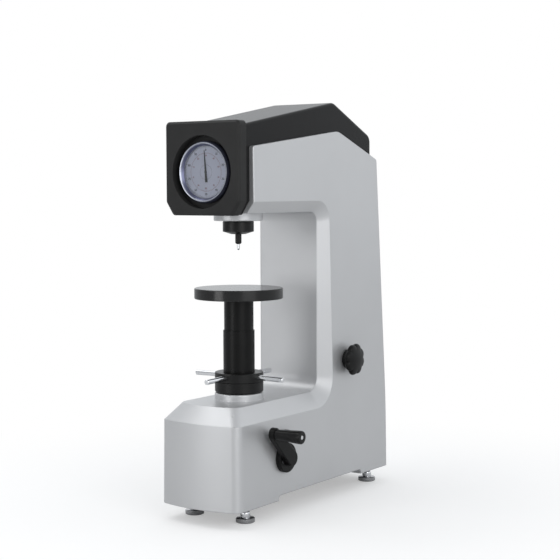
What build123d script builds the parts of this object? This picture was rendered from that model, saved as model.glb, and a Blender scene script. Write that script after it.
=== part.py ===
"""Bench hardness tester of the lever and dead-weight kind.

Machine axes: X = 0 is the middle of the casting, Y = 0 is the load axis with -Y towards the operator,
and Z = 0 is the surface that the levelling feet stand on.  At the end every piece is moved together,
so that the origin is the bottom centre of the whole object's bounding box.
"""
from build123d import *
from math import cos, pi, radians, sin, tan
import os

os.makedirs("parts", exist_ok=True)

# ------------------------------------------------------------------ fits
RUN_FIT = 0.05  # radial clearance of a shaft that turns or slides in its bore
SEAT_FIT = 0.02  # radial clearance of an insert that is fixed in its bore
BODY_GAP = 0.3  # gap between two bodies that move past each other
CUT = 1.0  # how far a cutting tool runs past the face that it opens

# ------------------------------------------------------------------ casting
BASE_Z = 27.4  # underside of the base above the floor
CASTING_HALF = 80.4  # half width at the underside
DRAFT_DEG = 0.7  # side draft of the casting
FRONT_REACH = 125.0  # middle of the bowed front, ahead of the load axis
FRONT_BOW = 13.5  # how far the front's ends lie behind its middle
FRONT_CORNER_R = 17.0
REAR_CORNER_R = 9.0
REAR_REACH = 365.0  # rear face at the underside, behind the load axis
REAR_LEAN_DEG = 3.27  # the rear face leans forwards as it rises
BASE_TOP_Z = 194.2
BASE_BEVEL_Z = 167.4  # lower edge of the bevel round the base's top
BASE_BEVEL_FRONT = 27.0  # how far the bevel runs back from the front face
BASE_TOP_CORNER_R = 20.0
ARCH_Y = (1.0, 266.0)  # relief along the lower edge of both sides
ARCH_RISE = 8.6
ARCH_R = 6.0
WALL = 11.0

BEVEL_END_Y = -69.7  # where the bevel over the bowed front runs out
ARM_FRONT = -57.5  # front face of the arm
HEAD_CORNER_R = 2.5
HEAD_TOP_R = 4.0
ARM_UNDER_Z = 508.8
ARM_AXIS_TOP_Z = 625.3  # top of the arm over the load axis
ARM_RISE_DEG = 7.1  # the arm's top climbs to the rear
ARM_FALL_DEG = 19.85  # then falls behind the ridge
RIDGE_Y = 199.4
RIDGE_R = 40.0
REAR_TOP_R = 6.0

THROAT_HALF = 60.0  # half width of the flat faces of the throat
COLUMN_FRONT = 149.5  # throat depth from the load axis
ARM_FLARE = 1.343  # rise of each throat bevel per mm of width
COLUMN_FLARE = 1.337
THROAT_TOP_R = 18.0
THROAT_LOW_R = 25.0
TOP_R_FLARE = 1.17  # growth of the corner radii per mm of width
LOW_R_FLARE = 1.39

BOSS_R = 41.5  # bosses of the arm and of the base on the load axis
ARM_BOSS_Z = 495.7
BASE_BOSS_Z = 205.5
BOSS_EDGE_R = 2.0
GAUGE_PORT_R = 50.0  # opening in the head's front wall

REAR_WINDOW_HALF = 50.0
REAR_WINDOW_Z = (70.0, 570.0)
REAR_WINDOW_R = 8.0
REAR_PLATE_LAP = 9.0  # lap of the rear cover round its window
REAR_PLATE_T = 2.5
REAR_SCREW_INSET = 4.5
REAR_SCREW_R = 2.0
SCREW_HEAD_R = 3.8
SCREW_HEAD_H = 2.0

# ------------------------------------------------------------------ top cover
COVER_HALF = 65.0
COLLAR_LOW_Z = 507.0  # underside of the collar that carries the front panel
COLLAR_CHAMFER = (15.2, 23.2)  # width and height of the collar's lower corners
COVER_AXIS_TOP_Z = 666.2  # top of the cover over the load axis
COVER_RISE_DEG = 9.9
COVER_FALL_DEG = 24.2
COVER_RIDGE_Y = 200.3
COVER_RIDGE_R = 22.0
COVER_REAR = 326.0
COVER_REAR_R = 17.0
COVER_EDGE_R = 6.0
COVER_WALL = 2.5

# ------------------------------------------------------------------ front panel and gauge
HEAD_FRONT = -80.7  # back of the panel, on the cover's collar
PANEL_HALF = 75.8
PANEL_Z = (506.0, 659.2)
PANEL_DEPTH = 19.8
PANEL_CHAMFER = (14.5, 22.1)  # width and height of the lower corners
PANEL_CORNER_R = 8.0
PANEL_EDGE = 3.9
PANEL_RIM = 14.0  # width of the rim that seats on the collar
PANEL_WALL = 3.0
DIAL_Z = 576.6
DIAL_WELL_R = 59.5
WELL_FLOOR_T = 2.5
GAUGE_CASE_R = 46.0
GAUGE_CASE_DEPTH = 40.0
GAUGE_RING_R = 50.6
RING_SHOULDER = (3.0, 6.0)  # fall in radius and length of the ring's sloping shoulder
RING_CONE_R = (47.2, 43.5)  # outer and inner radius of the ring's conical lip
GAUGE_SIGHT_R = 42.2
RING_RECESS = 3.5  # ring's front behind the panel's front
GLASS_RECESS = 6.0  # glass's front behind the ring's front
FACE_R = 45.6
FACE_T = 1.0
GLASS_T = 1.2
POINTER_T = 0.6
POINTER_REACH = 36.0
POINTER_TAIL = 16.5
POINTER_HALF = (0.4, 2.2)  # half width of the blade at its point and at its tail
POINTER_HUB_R = 1.8
POINTER_REST_DEG = 4.5
ARBOR_R = 1.2

# ------------------------------------------------------------------ spindle and indenter
SPINDLE_R = 12.0
SPINDLE_BUSH_R = 19.0
HOLDER_R = 26.3
HOLDER_TOP_Z = 495.0
HOLDER_CONE_Z = 478.5
HOLDER_NOSE = (12.5, 473.4)  # radius and height of the cone's small end
STEM_R = 5.35
STEM_END_Z = 456.5
STEM_END_R = 3.0
TIP_R = 2.3
TIP_Z = 446.5
TIP_DEPTH = 8.0
GRUB_R = 2.5
GRUB_Z = 486.0

# ------------------------------------------------------------------ load lever and weights
FULCRUM_Y = -12.0
FULCRUM_Z = 600.0
FULCRUM_R = 4.0
FULCRUM_EAR_X = 13.5  # inner faces of the fulcrum's ears, clear of the spindle
FULCRUM_EAR_T = 7.0
FULCRUM_EAR_HALF = 12.0  # half length of the ears
FULCRUM_EAR_TOP = 14.0  # height of the ears over the shaft
LEVER_NOSE = 14.0  # reach of the lever ahead of its fulcrum
LEVER_HALF = 9.0
LEVER_DEPTH = (30.0, 20.0)  # beam depth at the fulcrum and at the rear
LEVER_REAR = 317.0
HANGER_Y = 240.0
DAMPER_Y = 305.0
LEVER_PIN_R = 4.0
LEVER_PIN_PLAY = 0.5
HANGER_ROD_R = 6.0
YOKE_T = 6.0
YOKE_HALF = 9.0  # half length of the hanging yokes and their height over the pin
WEIGHT_R = 48.0
WEIGHT_H = 32.0
WEIGHT_COUNT = 3
WEIGHT_LOW_Z = 125.0
WEIGHT_SEAT_H = 8.0
DAMPER_R = 17.0
DAMPER_Z = (440.0, 545.0)
DAMPER_WALL = 2.5
DAMPER_ROD_R = 4.0
DAMPER_CAP_T = 4.0
DAMPER_ARM = (16.0, 12.0)  # length and height of the cylinder's side brackets
PISTON_H = 8.0
PISTON_Z = 500.0

# ------------------------------------------------------------------ force selector
SELECTOR_Y = 221.0
SELECTOR_Z = 244.0
SELECTOR_SHAFT_R = 7.0
SELECTOR_CAM_R = 12.0
SELECTOR_THROW = 3.0
SELECTOR_CAM_T = 8.0
KNOB_R = 28.0
KNOB_DISC_R = 26.0
KNOB_LOBES = 8
KNOB_LOBE_R = 6.0
KNOB_VALLEY_R = 3.0
KNOB_DEPTH = 24.0
KNOB_BORE_DEPTH = 16.0
KNOB_SKIRT_R = 17.0
KNOB_SKIRT_T = 12.0
KNOB_EDGE_R = 2.5
KNOB_CROWN = 5.0

# ------------------------------------------------------------------ load crank
CRANK_Y = 18.5
CRANK_Z = 98.6
CRANK_REST_DEG = 136.0  # from +Y towards +Z
CRANK_SWING_DEG = 100.0  # over the top, to the rear
CRANK_REACH = 68.8
CRANK_SHAFT_R = 7.5
FLANGE_R = 25.0
FLANGE_T = 9.0
ARM_PLANE = 15.0  # middle of the crank arm, off the casting's side
CRANK_ARM_T = 9.0
CRANK_ARM_SKIN = 2.5  # metal left over the blind bores of the arm
CRANK_HUB_R = 13.0
CRANK_EYE_R = 11.0
GRIP_R = (8.6, 11.0)
GRIP_LENGTH = 50.5
GRIP_EDGE_R = 2.5
GRIP_BAND = 6.0  # length of the straight band at the grip's end
GRIP_SINK = 4.0  # depth of the counterbore for the bolt's head
GRIP_BOLT_R = 2.6
GRIP_BOLT_HEAD_R = 3.8
INNER_WEB_X = 38.0
INNER_WEB_T = 8.0
INNER_PIN_R = 4.0
INNER_THROW = 20.0
YOKE_PLAY = 1.6
YOKE_WALL = 6.0
TRANSFER_T = 8.0
TRANSFER_BAR = (-6.0, 2.0)  # lower and upper side of the rod, from the crank's axis
TRANSFER_GUIDE_Y = (60.0, 125.0)
GUIDE_WALL = 8.0
WEDGE_RISE = 0.2246
LIFT_Y = 185.0
LIFT_ROD_R = 5.0
LIFT_FORK_H = 8.0
LIFT_FORK_HALF = 6.0
LIFT_GUIDE_HALF = 9.0
LIFT_GUIDE_H = 14.0

# ------------------------------------------------------------------ damper valve
VALVE_Y = 21.0
VALVE_Z = 135.0
VALVE_KNOB_R = 10.5
VALVE_KNOB_T = 8.5
VALVE_STEM_R = 3.0

# ------------------------------------------------------------------ elevating screw, capstan nut, table
SCREW_R = 15.0
SCREW_LOW_Z = 72.0
TABLE_DROP = 36.0
TABLE_R = 75.0
TABLE_TOP_Z = 382.6
TABLE_T = 17.9
TABLE_EDGE = 1.0
TUBE_R = 24.9
TUBE_WALL = 1.4
SLEEVE_R = 26.6
SLEEVE_WALL = 1.3
SLEEVE_TOP_Z = 311.1
HUB_R = 41.2
HUB_TOP_Z = 240.0
HUB_SEAM_Z = 224.2
HUB_FLOOR_T = 2.5
HUB_EDGE_R = 2.5
NUT_R = 20.0
ROD_R = 4.0
ROD_Z = 232.6
ROD_REACH = 91.0
ROD_SEAT = 12.0
BUSH_R = 20.0
BEARING_R = 31.0
BEARING_H = 7.0

# ------------------------------------------------------------------ levelling feet
FOOT_X = 53.0
FOOT_Y = (-57.0, 332.0)
PAD_R = 15.8
PAD_H = 9.0
PAD_EDGE = 1.2
DOME_R = 8.2
DOME_H = 14.5
STUD_R = 5.0
STUD_TOP_Z = 58.0
FOOT_BOSS_R = 15.0
FOOT_BOSS_Z = 66.0


# ------------------------------------------------------------------ helpers
def rod(radius, low, high):
    """Cylinder on the Z axis between two heights."""
    return Pos(0, 0, low) * Cylinder(radius, high - low, align=(Align.CENTER, Align.CENTER, Align.MIN))


def pipe(outer, inner, low, high):
    """Tube on the Z axis between two heights."""
    return rod(outer, low, high) - rod(inner, low - CUT, high + CUT)


def turned(*points):
    """Solid turned about the Z axis from an outline of (radius, height) points."""
    return revolve(Plane.XZ * make_face(Polyline(*points, close=True)), Axis.Z)


def along_x(shape, x, y, z):
    """Lays a piece made on the Z axis along +X, from the given point."""
    return Pos(x, y, z) * Rot(0, 90, 0) * shape


def along_front(shape, y, z):
    """Lays a piece made on the Z axis along -Y, towards the operator."""
    return Pos(0, y, z) * Rot(90, 0, 0) * shape


def block(x, y, z):
    """Box from its (low, high) spans."""
    size = Box(x[1] - x[0], y[1] - y[0], z[1] - z[0], align=(Align.MIN, Align.MIN, Align.MIN))
    return Pos(x[0], y[0], z[0]) * size


def side_slab(outline, low_x, high_x):
    """Outline of (y, z) points, given as a closed wire, extruded across the machine."""
    return extrude(Plane.YZ.offset(low_x) * make_face(outline), high_x - low_x)


def casting_half(z):
    """Half width of the drafted casting at a height."""
    return CASTING_HALF - tan(radians(DRAFT_DEG)) * (z - BASE_Z)


def rear_face(z):
    """Y of the leaning rear face at a height."""
    return REAR_REACH - tan(radians(REAR_LEAN_DEG)) * (z - BASE_Z)


def roof_height(y, axis_top, rise_deg, fall_deg, ridge_y):
    """Height of a two-slope top at y, from its height over the load axis."""
    if y <= ridge_y:
        return axis_top + tan(radians(rise_deg)) * y
    ridge = axis_top + tan(radians(rise_deg)) * ridge_y
    return ridge - tan(radians(fall_deg)) * (y - ridge_y)


def arm_top(y):
    """Height of the casting's top."""
    return roof_height(y, ARM_AXIS_TOP_Z, ARM_RISE_DEG, ARM_FALL_DEG, RIDGE_Y)


def cover_top(y):
    """Height of the dark cover's top before its ridge is rounded."""
    return roof_height(y, COVER_AXIS_TOP_Z, COVER_RISE_DEG, COVER_FALL_DEG, COVER_RIDGE_Y)


def crank_point(radius, angle_deg):
    """(y, z) at a radius and angle round the crank's axis."""
    angle = radians(angle_deg)
    return CRANK_Y + radius * cos(angle), CRANK_Z + radius * sin(angle)


# ------------------------------------------------------------------ casting
def plan_face(half, front, bow, front_r, rear, rear_r):
    """Plan outline with a bowed front, straight sides and round corners."""
    corner_y = -front + bow
    bowed = ThreePointArc((-half, corner_y), (0, -front), (half, corner_y))
    sides = Polyline((half, corner_y), (half, rear), (-half, rear), (-half, corner_y))
    face = make_face([bowed, sides])
    face = fillet(face.vertices().group_by(Axis.Y)[0], front_r)
    return fillet(face.vertices().group_by(Axis.Y)[-1], rear_r)


def throat_tool(half, reach_half):
    """The C-shaped casting's throat, with its edges bevelled wider towards both sides."""
    ahead = -FRONT_REACH - 2 * WALL

    def outline(spread):
        low = BASE_TOP_Z - spread * base_flare()
        high = ARM_UNDER_Z + spread * ARM_FLARE
        back = COLUMN_FRONT + spread * COLUMN_FLARE
        points = [(ahead, low), (back, low), (back, high), (ahead, high)]
        radii = [0, THROAT_LOW_R + spread * LOW_R_FLARE, THROAT_TOP_R + spread * TOP_R_FLARE, 0]
        return FilletPolyline(*points, radius=radii, close=True)

    middle = side_slab(outline(0), -half, half)
    inner = Plane.YZ.offset(half) * make_face(outline(0))
    outer = Plane.YZ.offset(reach_half) * make_face(outline(reach_half - half))
    flare = loft([inner, outer], ruled=True)
    return middle + flare + mirror(flare, Plane.YZ)


def base_flare():
    """Fall of the base's side bevel per mm of width."""
    return (BASE_TOP_Z - BASE_BEVEL_Z) / (casting_half(BASE_BEVEL_Z) - THROAT_HALF)


def front_bevel_tool():
    """What the bevel over the base's bowed front takes away."""
    draft = tan(radians(DRAFT_DEG)) * (BASE_BEVEL_Z - BASE_Z)
    low = plan_face(
        CASTING_HALF - draft, FRONT_REACH - draft, FRONT_BOW, FRONT_CORNER_R, COLUMN_FRONT, REAR_CORNER_R
    )
    high = plan_face(
        THROAT_HALF, FRONT_REACH - BASE_BEVEL_FRONT, FRONT_BOW, BASE_TOP_CORNER_R, COLUMN_FRONT, REAR_CORNER_R
    )
    kept = loft([Pos(0, 0, BASE_BEVEL_Z) * low, Pos(0, 0, BASE_TOP_Z) * high], ruled=True)
    edge = CASTING_HALF + WALL
    zone = block((-edge, edge), (-FRONT_REACH - WALL, BEVEL_END_Y), (BASE_BEVEL_Z, BASE_TOP_Z + WALL))
    return zone - kept


def head_corner_tool():
    """What the round upright corners of the arm's head take away."""
    spans = (ARM_BOSS_Z, COVER_AXIS_TOP_Z)
    sections = []
    for z in spans:
        half = casting_half(z)
        plan = Rectangle(2 * half, COLUMN_FRONT - ARM_FRONT, align=(Align.CENTER, Align.MIN))
        plan = fillet(plan.vertices().group_by(Axis.Y)[0], HEAD_CORNER_R)
        sections.append(Pos(0, ARM_FRONT, z) * plan)
    kept = loft(sections, ruled=True)
    edge = CASTING_HALF + WALL
    return block((-edge, edge), (ARM_FRONT - WALL, ARM_FRONT + HEAD_CORNER_R), spans) - kept


def casting_outline():
    """Side outline of the C-shaped casting before the throat is cut."""
    rear_top = crossing_height()
    points = [
        (-FRONT_REACH - WALL, BASE_Z),
        (rear_face(BASE_Z), BASE_Z),
        (rear_face(rear_top), rear_top),
        (RIDGE_Y, arm_top(RIDGE_Y)),
        (ARM_FRONT, arm_top(ARM_FRONT)),
        (ARM_FRONT, ARM_BOSS_Z),
        (-FRONT_REACH - WALL, ARM_BOSS_Z),
    ]
    return FilletPolyline(*points, radius=[0, 0, REAR_TOP_R, RIDGE_R, HEAD_TOP_R, 0, 0], close=True)


def crossing_height():
    """Height where the falling top meets the leaning rear face."""
    fall = tan(radians(ARM_FALL_DEG))
    lean = tan(radians(REAR_LEAN_DEG))
    ridge = arm_top(RIDGE_Y)
    return (ridge - fall * (REAR_REACH + lean * BASE_Z - RIDGE_Y)) / (1 - fall * lean)


def cavity_tool():
    """Room for the lever, the weights and the screw, open at the bottom and at the top."""
    over = COVER_AXIS_TOP_Z
    points = [
        (ARM_FRONT + WALL, over),
        (ARM_FRONT + WALL, ARM_UNDER_Z + WALL),
        (COLUMN_FRONT + WALL, ARM_UNDER_Z + WALL),
        (COLUMN_FRONT + WALL, BASE_TOP_Z - WALL),
        (-FRONT_REACH + FRONT_BOW + WALL, BASE_TOP_Z - WALL),
        (-FRONT_REACH + FRONT_BOW + WALL, BASE_Z - CUT),
        (rear_face(BASE_Z) - WALL, BASE_Z - CUT),
        (rear_face(over) - WALL, over),
    ]
    inner_r = WALL / 2
    radii = [0, inner_r, inner_r, inner_r, inner_r, 0, 0, 0]
    return side_slab(FilletPolyline(*points, radius=radii, close=True), -THROAT_HALF, THROAT_HALF)


def rear_frame():
    """Plane on the rear face at the middle of its window: local X to the machine's -X, local Y upwards."""
    z = sum(REAR_WINDOW_Z) / 2
    lean = radians(REAR_LEAN_DEG)
    return Plane(origin=(0, rear_face(z), z), x_dir=(-1, 0, 0), z_dir=(0, cos(lean), sin(lean))).location


def rear_panel_block(lap, low, high, corner_r):
    """Rounded plate on the rear face, wider than the window by lap, between two depths."""
    width = 2 * (REAR_WINDOW_HALF + lap)
    height = REAR_WINDOW_Z[1] - REAR_WINDOW_Z[0] + 2 * lap
    return rear_frame() * Pos(0, 0, low) * extrude(RectangleRounded(width, height, corner_r), high - low)


def rear_screw_places():
    """(x, y) of the rear cover's screws in the rear face's own plane."""
    half_height = (REAR_WINDOW_Z[1] - REAR_WINDOW_Z[0]) / 2
    across = REAR_WINDOW_HALF + REAR_SCREW_INSET
    up = half_height + REAR_SCREW_INSET
    return [(x, y) for x in (-across, across) for y in (-up, 0, up)]


def foot_places():
    """Node name and (x, y) of each foot."""
    sides = (("left", -FOOT_X), ("right", FOOT_X))
    ends = (("front", FOOT_Y[0]), ("rear", FOOT_Y[1]))
    return [(f"foot_{end}_{side}", x, y) for end, y in ends for side, x in sides]


def make_casting():
    """The hollow C-shaped casting: base, column and arm in one."""
    plan = plan_face(CASTING_HALF, FRONT_REACH, FRONT_BOW, FRONT_CORNER_R, REAR_REACH, REAR_CORNER_R)
    tall = COVER_AXIS_TOP_Z - BASE_Z
    body = Pos(0, 0, BASE_Z) * extrude(plan, tall, taper=DRAFT_DEG)
    body &= side_slab(casting_outline(), -CASTING_HALF - WALL, CASTING_HALF + WALL)
    body -= throat_tool(THROAT_HALF, CASTING_HALF + WALL)
    body -= front_bevel_tool()
    body -= head_corner_tool()
    arch = FilletPolyline(
        (ARCH_Y[0], BASE_Z - CUT),
        (ARCH_Y[1], BASE_Z - CUT),
        (ARCH_Y[1], BASE_Z + ARCH_RISE),
        (ARCH_Y[0], BASE_Z + ARCH_RISE),
        radius=[0, 0, ARCH_R, ARCH_R],
        close=True,
    )
    body -= side_slab(arch, -CASTING_HALF - WALL, CASTING_HALF + WALL)
    arm_boss = fillet(rod(BOSS_R, ARM_BOSS_Z, ARM_UNDER_Z + WALL).edges().group_by(Axis.Z)[0], BOSS_EDGE_R)
    base_boss = fillet(rod(BOSS_R, BASE_TOP_Z - WALL, BASE_BOSS_Z).edges().group_by(Axis.Z)[-1], BOSS_EDGE_R)
    body -= cavity_tool()
    body += arm_boss + base_boss
    for _, x, y in foot_places():
        body += Pos(x, y, 0) * rod(FOOT_BOSS_R, BASE_Z, FOOT_BOSS_Z)
        body -= Pos(x, y, 0) * rod(STUD_R + RUN_FIT, BASE_Z - CUT, STUD_TOP_Z + CUT)
    return body - casting_openings()


def casting_openings():
    """Windows and bores that the other pieces pass through."""
    tools = along_front(rod(GAUGE_PORT_R, 0, WALL + 2 * CUT), ARM_FRONT + WALL + CUT, DIAL_Z)
    tools += rear_panel_block(0, -3 * WALL, CUT, REAR_WINDOW_R)
    tools += rear_panel_block(REAR_PLATE_LAP, -REAR_PLATE_T, CUT, REAR_WINDOW_R)
    tools += rod(SPINDLE_BUSH_R + SEAT_FIT, ARM_BOSS_Z - CUT, ARM_UNDER_Z + 2 * WALL)
    tools += rod(BUSH_R + SEAT_FIT, BASE_TOP_Z - 2 * WALL, BASE_BOSS_Z + CUT)
    tools += rod(BEARING_R + SEAT_FIT, BASE_BOSS_Z - BEARING_H, BASE_BOSS_Z + CUT)
    for y, z, radius in (
        (CRANK_Y, CRANK_Z, CRANK_SHAFT_R + RUN_FIT),
        (SELECTOR_Y, SELECTOR_Z, SELECTOR_SHAFT_R + RUN_FIT),
        (VALVE_Y, VALVE_Z, VALVE_STEM_R + RUN_FIT),
    ):
        tools += along_x(rod(radius, THROAT_HALF - CUT, CASTING_HALF + CUT), 0, y, z)
    tools += along_x(rod(FLANGE_R + SEAT_FIT, 0, WALL), crank_side(), CRANK_Y, CRANK_Z)
    for x, y in rear_screw_places():
        tools += rear_frame() * Pos(x, y, 0) * rod(REAR_SCREW_R + SEAT_FIT, -REAR_PLATE_T - WALL, CUT)
    return tools


def make_rear_cover():
    """Flush steel plate over the rear window."""
    plate = rear_panel_block(REAR_PLATE_LAP - BODY_GAP, -REAR_PLATE_T, 0, REAR_WINDOW_R)
    for x, y in rear_screw_places():
        plate -= rear_frame() * Pos(x, y, 0) * rod(REAR_SCREW_R + SEAT_FIT, -REAR_PLATE_T - CUT, CUT)
    return plate


def make_rear_cover_screws():
    """Pan-head screws of the rear cover, as a group of separate solids."""
    screws = []
    for x, y in rear_screw_places():
        shank = rod(REAR_SCREW_R, -REAR_PLATE_T - WALL + CUT, 0)
        head = rod(SCREW_HEAD_R, 0, SCREW_HEAD_H)
        head = fillet(head.edges().group_by(Axis.Z)[-1], SCREW_HEAD_H / 2)
        screws.append(rear_frame() * Pos(x, y, 0) * (shank + head))
    return screws


# ------------------------------------------------------------------ covers
def cover_span(inset):
    """Long prism within the cover's outline as seen from the front, moved inwards by inset."""
    half = COVER_HALF - inset
    low = COLLAR_LOW_Z + inset
    high = cover_top(COVER_RIDGE_Y)
    wide, tall = COLLAR_CHAMFER
    outline = Polyline(
        (-half + wide, low),
        (half - wide, low),
        (half, low + tall),
        (half, high),
        (-half, high),
        (-half, low + tall),
        close=True,
    )
    rear = Plane.XZ.offset(-COVER_REAR - CUT)
    return extrude(rear * make_face(outline), COVER_REAR - HEAD_FRONT + 3 * CUT)


def make_top_cover():
    """Dark cover: two slopes and a ridge over the arm, and a hollow collar down its front."""
    outline = FilletPolyline(
        (HEAD_FRONT, COLLAR_LOW_Z),
        (ARM_FRONT, COLLAR_LOW_Z),
        (ARM_FRONT, arm_top(ARM_FRONT)),
        (RIDGE_Y, arm_top(RIDGE_Y)),
        (COVER_REAR, arm_top(COVER_REAR)),
        (COVER_REAR, cover_top(COVER_REAR)),
        (COVER_RIDGE_Y, cover_top(COVER_RIDGE_Y)),
        (HEAD_FRONT, cover_top(HEAD_FRONT)),
        radius=[0, 0, HEAD_TOP_R, RIDGE_R, 0, COVER_REAR_R, COVER_RIDGE_R, 0],
        close=True,
    )
    shell = side_slab(outline, -COVER_HALF, COVER_HALF) & cover_span(0)
    rounded = [
        edge
        for edge in shell.edges()
        if abs(abs(edge.center().X) - COVER_HALF) < CUT
        and edge.center().Z > arm_top(edge.center().Y) + 2 * CUT
        and edge.center().Y > HEAD_FRONT + CUT
    ]
    shell = fillet(rounded, COVER_EDGE_R)
    inner_rear = COVER_REAR - COVER_WALL
    room = FilletPolyline(
        (HEAD_FRONT - CUT, COLLAR_LOW_Z),
        (ARM_FRONT + CUT, COLLAR_LOW_Z),
        (ARM_FRONT + CUT, arm_top(ARM_FRONT) - 2 * CUT),
        (RIDGE_Y, arm_top(RIDGE_Y) - 2 * CUT),
        (inner_rear, arm_top(inner_rear) - 2 * CUT),
        (inner_rear, cover_top(inner_rear) - COVER_WALL),
        (COVER_RIDGE_Y, cover_top(COVER_RIDGE_Y) - COVER_WALL),
        (HEAD_FRONT - CUT, cover_top(HEAD_FRONT) - COVER_WALL),
        radius=[0, 0, 0, RIDGE_R, 0, COVER_REAR_R - COVER_WALL, COVER_RIDGE_R - COVER_WALL, 0],
        close=True,
    )
    return shell - (side_slab(room, -COVER_HALF, COVER_HALF) & cover_span(COVER_WALL))


def panel_outline(inset):
    """Front panel's outline in X and Z, moved inwards by inset."""
    half = PANEL_HALF - inset
    low = PANEL_Z[0] + inset
    high = PANEL_Z[1] - inset
    wide, tall = PANEL_CHAMFER
    points = [
        (-half + wide, low),
        (half - wide, low),
        (half, low + tall),
        (half, high),
        (-half, high),
        (-half, low + tall),
    ]
    return make_face(FilletPolyline(*points, radius=max(PANEL_CORNER_R - inset, PANEL_WALL), close=True))


def make_front_panel():
    """Front panel with a wide rim at its back and a deep round well for the gauge."""
    back = Plane.XZ.offset(-HEAD_FRONT)
    panel = extrude(back * panel_outline(0), PANEL_DEPTH)
    panel = chamfer(panel.edges().group_by(Axis.Y)[0], PANEL_EDGE)
    panel -= extrude(back * panel_outline(PANEL_RIM), PANEL_DEPTH - PANEL_WALL)
    well = rod(DIAL_WELL_R + PANEL_WALL, 0, PANEL_DEPTH - PANEL_WALL / 2)
    panel += along_front(well, HEAD_FRONT, DIAL_Z)
    panel -= along_front(rod(DIAL_WELL_R, WELL_FLOOR_T, PANEL_DEPTH + CUT), HEAD_FRONT, DIAL_Z)
    panel -= along_front(rod(GAUGE_CASE_R + SEAT_FIT, -CUT, PANEL_DEPTH), HEAD_FRONT, DIAL_Z)
    return panel


# ------------------------------------------------------------------ dial gauge
RING_FRONT = PANEL_DEPTH - RING_RECESS  # distances ahead of the panel's back
GLASS_FRONT = RING_FRONT - GLASS_RECESS
POINTER_BACK = GLASS_FRONT - GLASS_T - 1.4
FACE_FRONT = POINTER_BACK - 0.8
CASE_FRONT = FACE_FRONT - FACE_T - BODY_GAP


def make_gauge_case():
    """Closed case of the dial gauge, held in the panel's well and reaching into the arm's port."""
    case = rod(GAUGE_CASE_R, CASE_FRONT - GAUGE_CASE_DEPTH, CASE_FRONT)
    case = chamfer(case.edges().group_by(Axis.Z)[0], 2.0)
    case -= rod(ARBOR_R + RUN_FIT, CASE_FRONT - GAUGE_CASE_DEPTH / 2, CASE_FRONT + CUT)
    return along_front(case, HEAD_FRONT, DIAL_Z)


def make_gauge_ring():
    """Turning bezel ring with a sloping shoulder, a conical lip and a flat inner band over the glass."""
    back = WELL_FLOOR_T + BODY_GAP
    glass_back = GLASS_FRONT - GLASS_T
    cone_outer, cone_inner = RING_CONE_R
    fall, slope = RING_SHOULDER
    ring = turned(
        (GAUGE_CASE_R + RUN_FIT, back),
        (GAUGE_RING_R, back),
        (GAUGE_RING_R, RING_FRONT - slope),
        (GAUGE_RING_R - fall, RING_FRONT),
        (cone_outer, RING_FRONT),
        (cone_inner, GLASS_FRONT + GLASS_T),
        (GAUGE_SIGHT_R, GLASS_FRONT + GLASS_T),
        (GAUGE_SIGHT_R, GLASS_FRONT),
        (cone_inner + CUT, GLASS_FRONT),
        (cone_inner + CUT, glass_back),
        (GAUGE_CASE_R + RUN_FIT, glass_back),
    )
    return along_front(ring, HEAD_FRONT, DIAL_Z)


def make_gauge_face():
    """Dial plate, with a hole for the pointer's arbor; it turns with the ring."""
    face = pipe(FACE_R, ARBOR_R + BODY_GAP, FACE_FRONT - FACE_T, FACE_FRONT)
    rim = pipe(GAUGE_CASE_R, FACE_R - CUT, FACE_FRONT, GLASS_FRONT - GLASS_T)
    return along_front(face + rim, HEAD_FRONT, DIAL_Z)


def make_gauge_glass():
    """Flat glass held behind the ring's lip."""
    glass = rod(RING_CONE_R[1] + CUT - SEAT_FIT, GLASS_FRONT - GLASS_T, GLASS_FRONT)
    return along_front(glass, HEAD_FRONT, DIAL_Z)


def make_gauge_pointer():
    """Tapered pointer with its hub and arbor."""
    point, tail = POINTER_HALF
    outline = Polyline(
        (-point, POINTER_REACH),
        (point, POINTER_REACH),
        (tail, -POINTER_TAIL),
        (-tail, -POINTER_TAIL),
        close=True,
    )
    pointer = Pos(0, 0, POINTER_BACK) * extrude(make_face(outline), POINTER_T)
    pointer += rod(POINTER_HUB_R, POINTER_BACK, POINTER_BACK + 2 * POINTER_T)
    pointer += rod(ARBOR_R, CASE_FRONT - GAUGE_CASE_DEPTH / 2 + CUT, POINTER_BACK)
    return along_front(Rot(0, 0, POINTER_REST_DEG) * pointer, HEAD_FRONT, DIAL_Z)


# ------------------------------------------------------------------ spindle and indenter
def make_spindle_bush():
    """Guide bush pressed into the arm's boss."""
    return pipe(SPINDLE_BUSH_R, SPINDLE_R + RUN_FIT, ARM_BOSS_Z, ARM_UNDER_Z + 2.5 * WALL)


def spindle_top():
    """Height of the spindle's rounded upper end, just under the lever."""
    return FULCRUM_Z - LEVER_DEPTH[0] / 2 - BODY_GAP


def make_spindle():
    """Main spindle between the lever and the indenter holder."""
    spindle = rod(SPINDLE_R, HOLDER_CONE_Z + 2, spindle_top())
    return fillet(spindle.edges().group_by(Axis.Z)[-1], SPINDLE_R - 2)


def make_indenter_holder():
    """Black holder nut: a drum with a conical nose."""
    nose_r, nose_z = HOLDER_NOSE
    holder = turned(
        (0, nose_z),
        (nose_r, nose_z),
        (HOLDER_R, HOLDER_CONE_Z - 0.8),
        (HOLDER_R, HOLDER_TOP_Z - 1.2),
        (HOLDER_R - 1.2, HOLDER_TOP_Z),
        (0, HOLDER_TOP_Z),
    )
    holder -= rod(SPINDLE_R + SEAT_FIT, HOLDER_CONE_Z + 2, HOLDER_TOP_Z + CUT)
    holder -= rod(STEM_R + SEAT_FIT, nose_z - CUT, HOLDER_TOP_Z)
    return holder - Pos(0, 0, GRUB_Z) * Rot(-90, 0, 0) * rod(GRUB_R + SEAT_FIT, SPINDLE_R, HOLDER_R + CUT)


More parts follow.
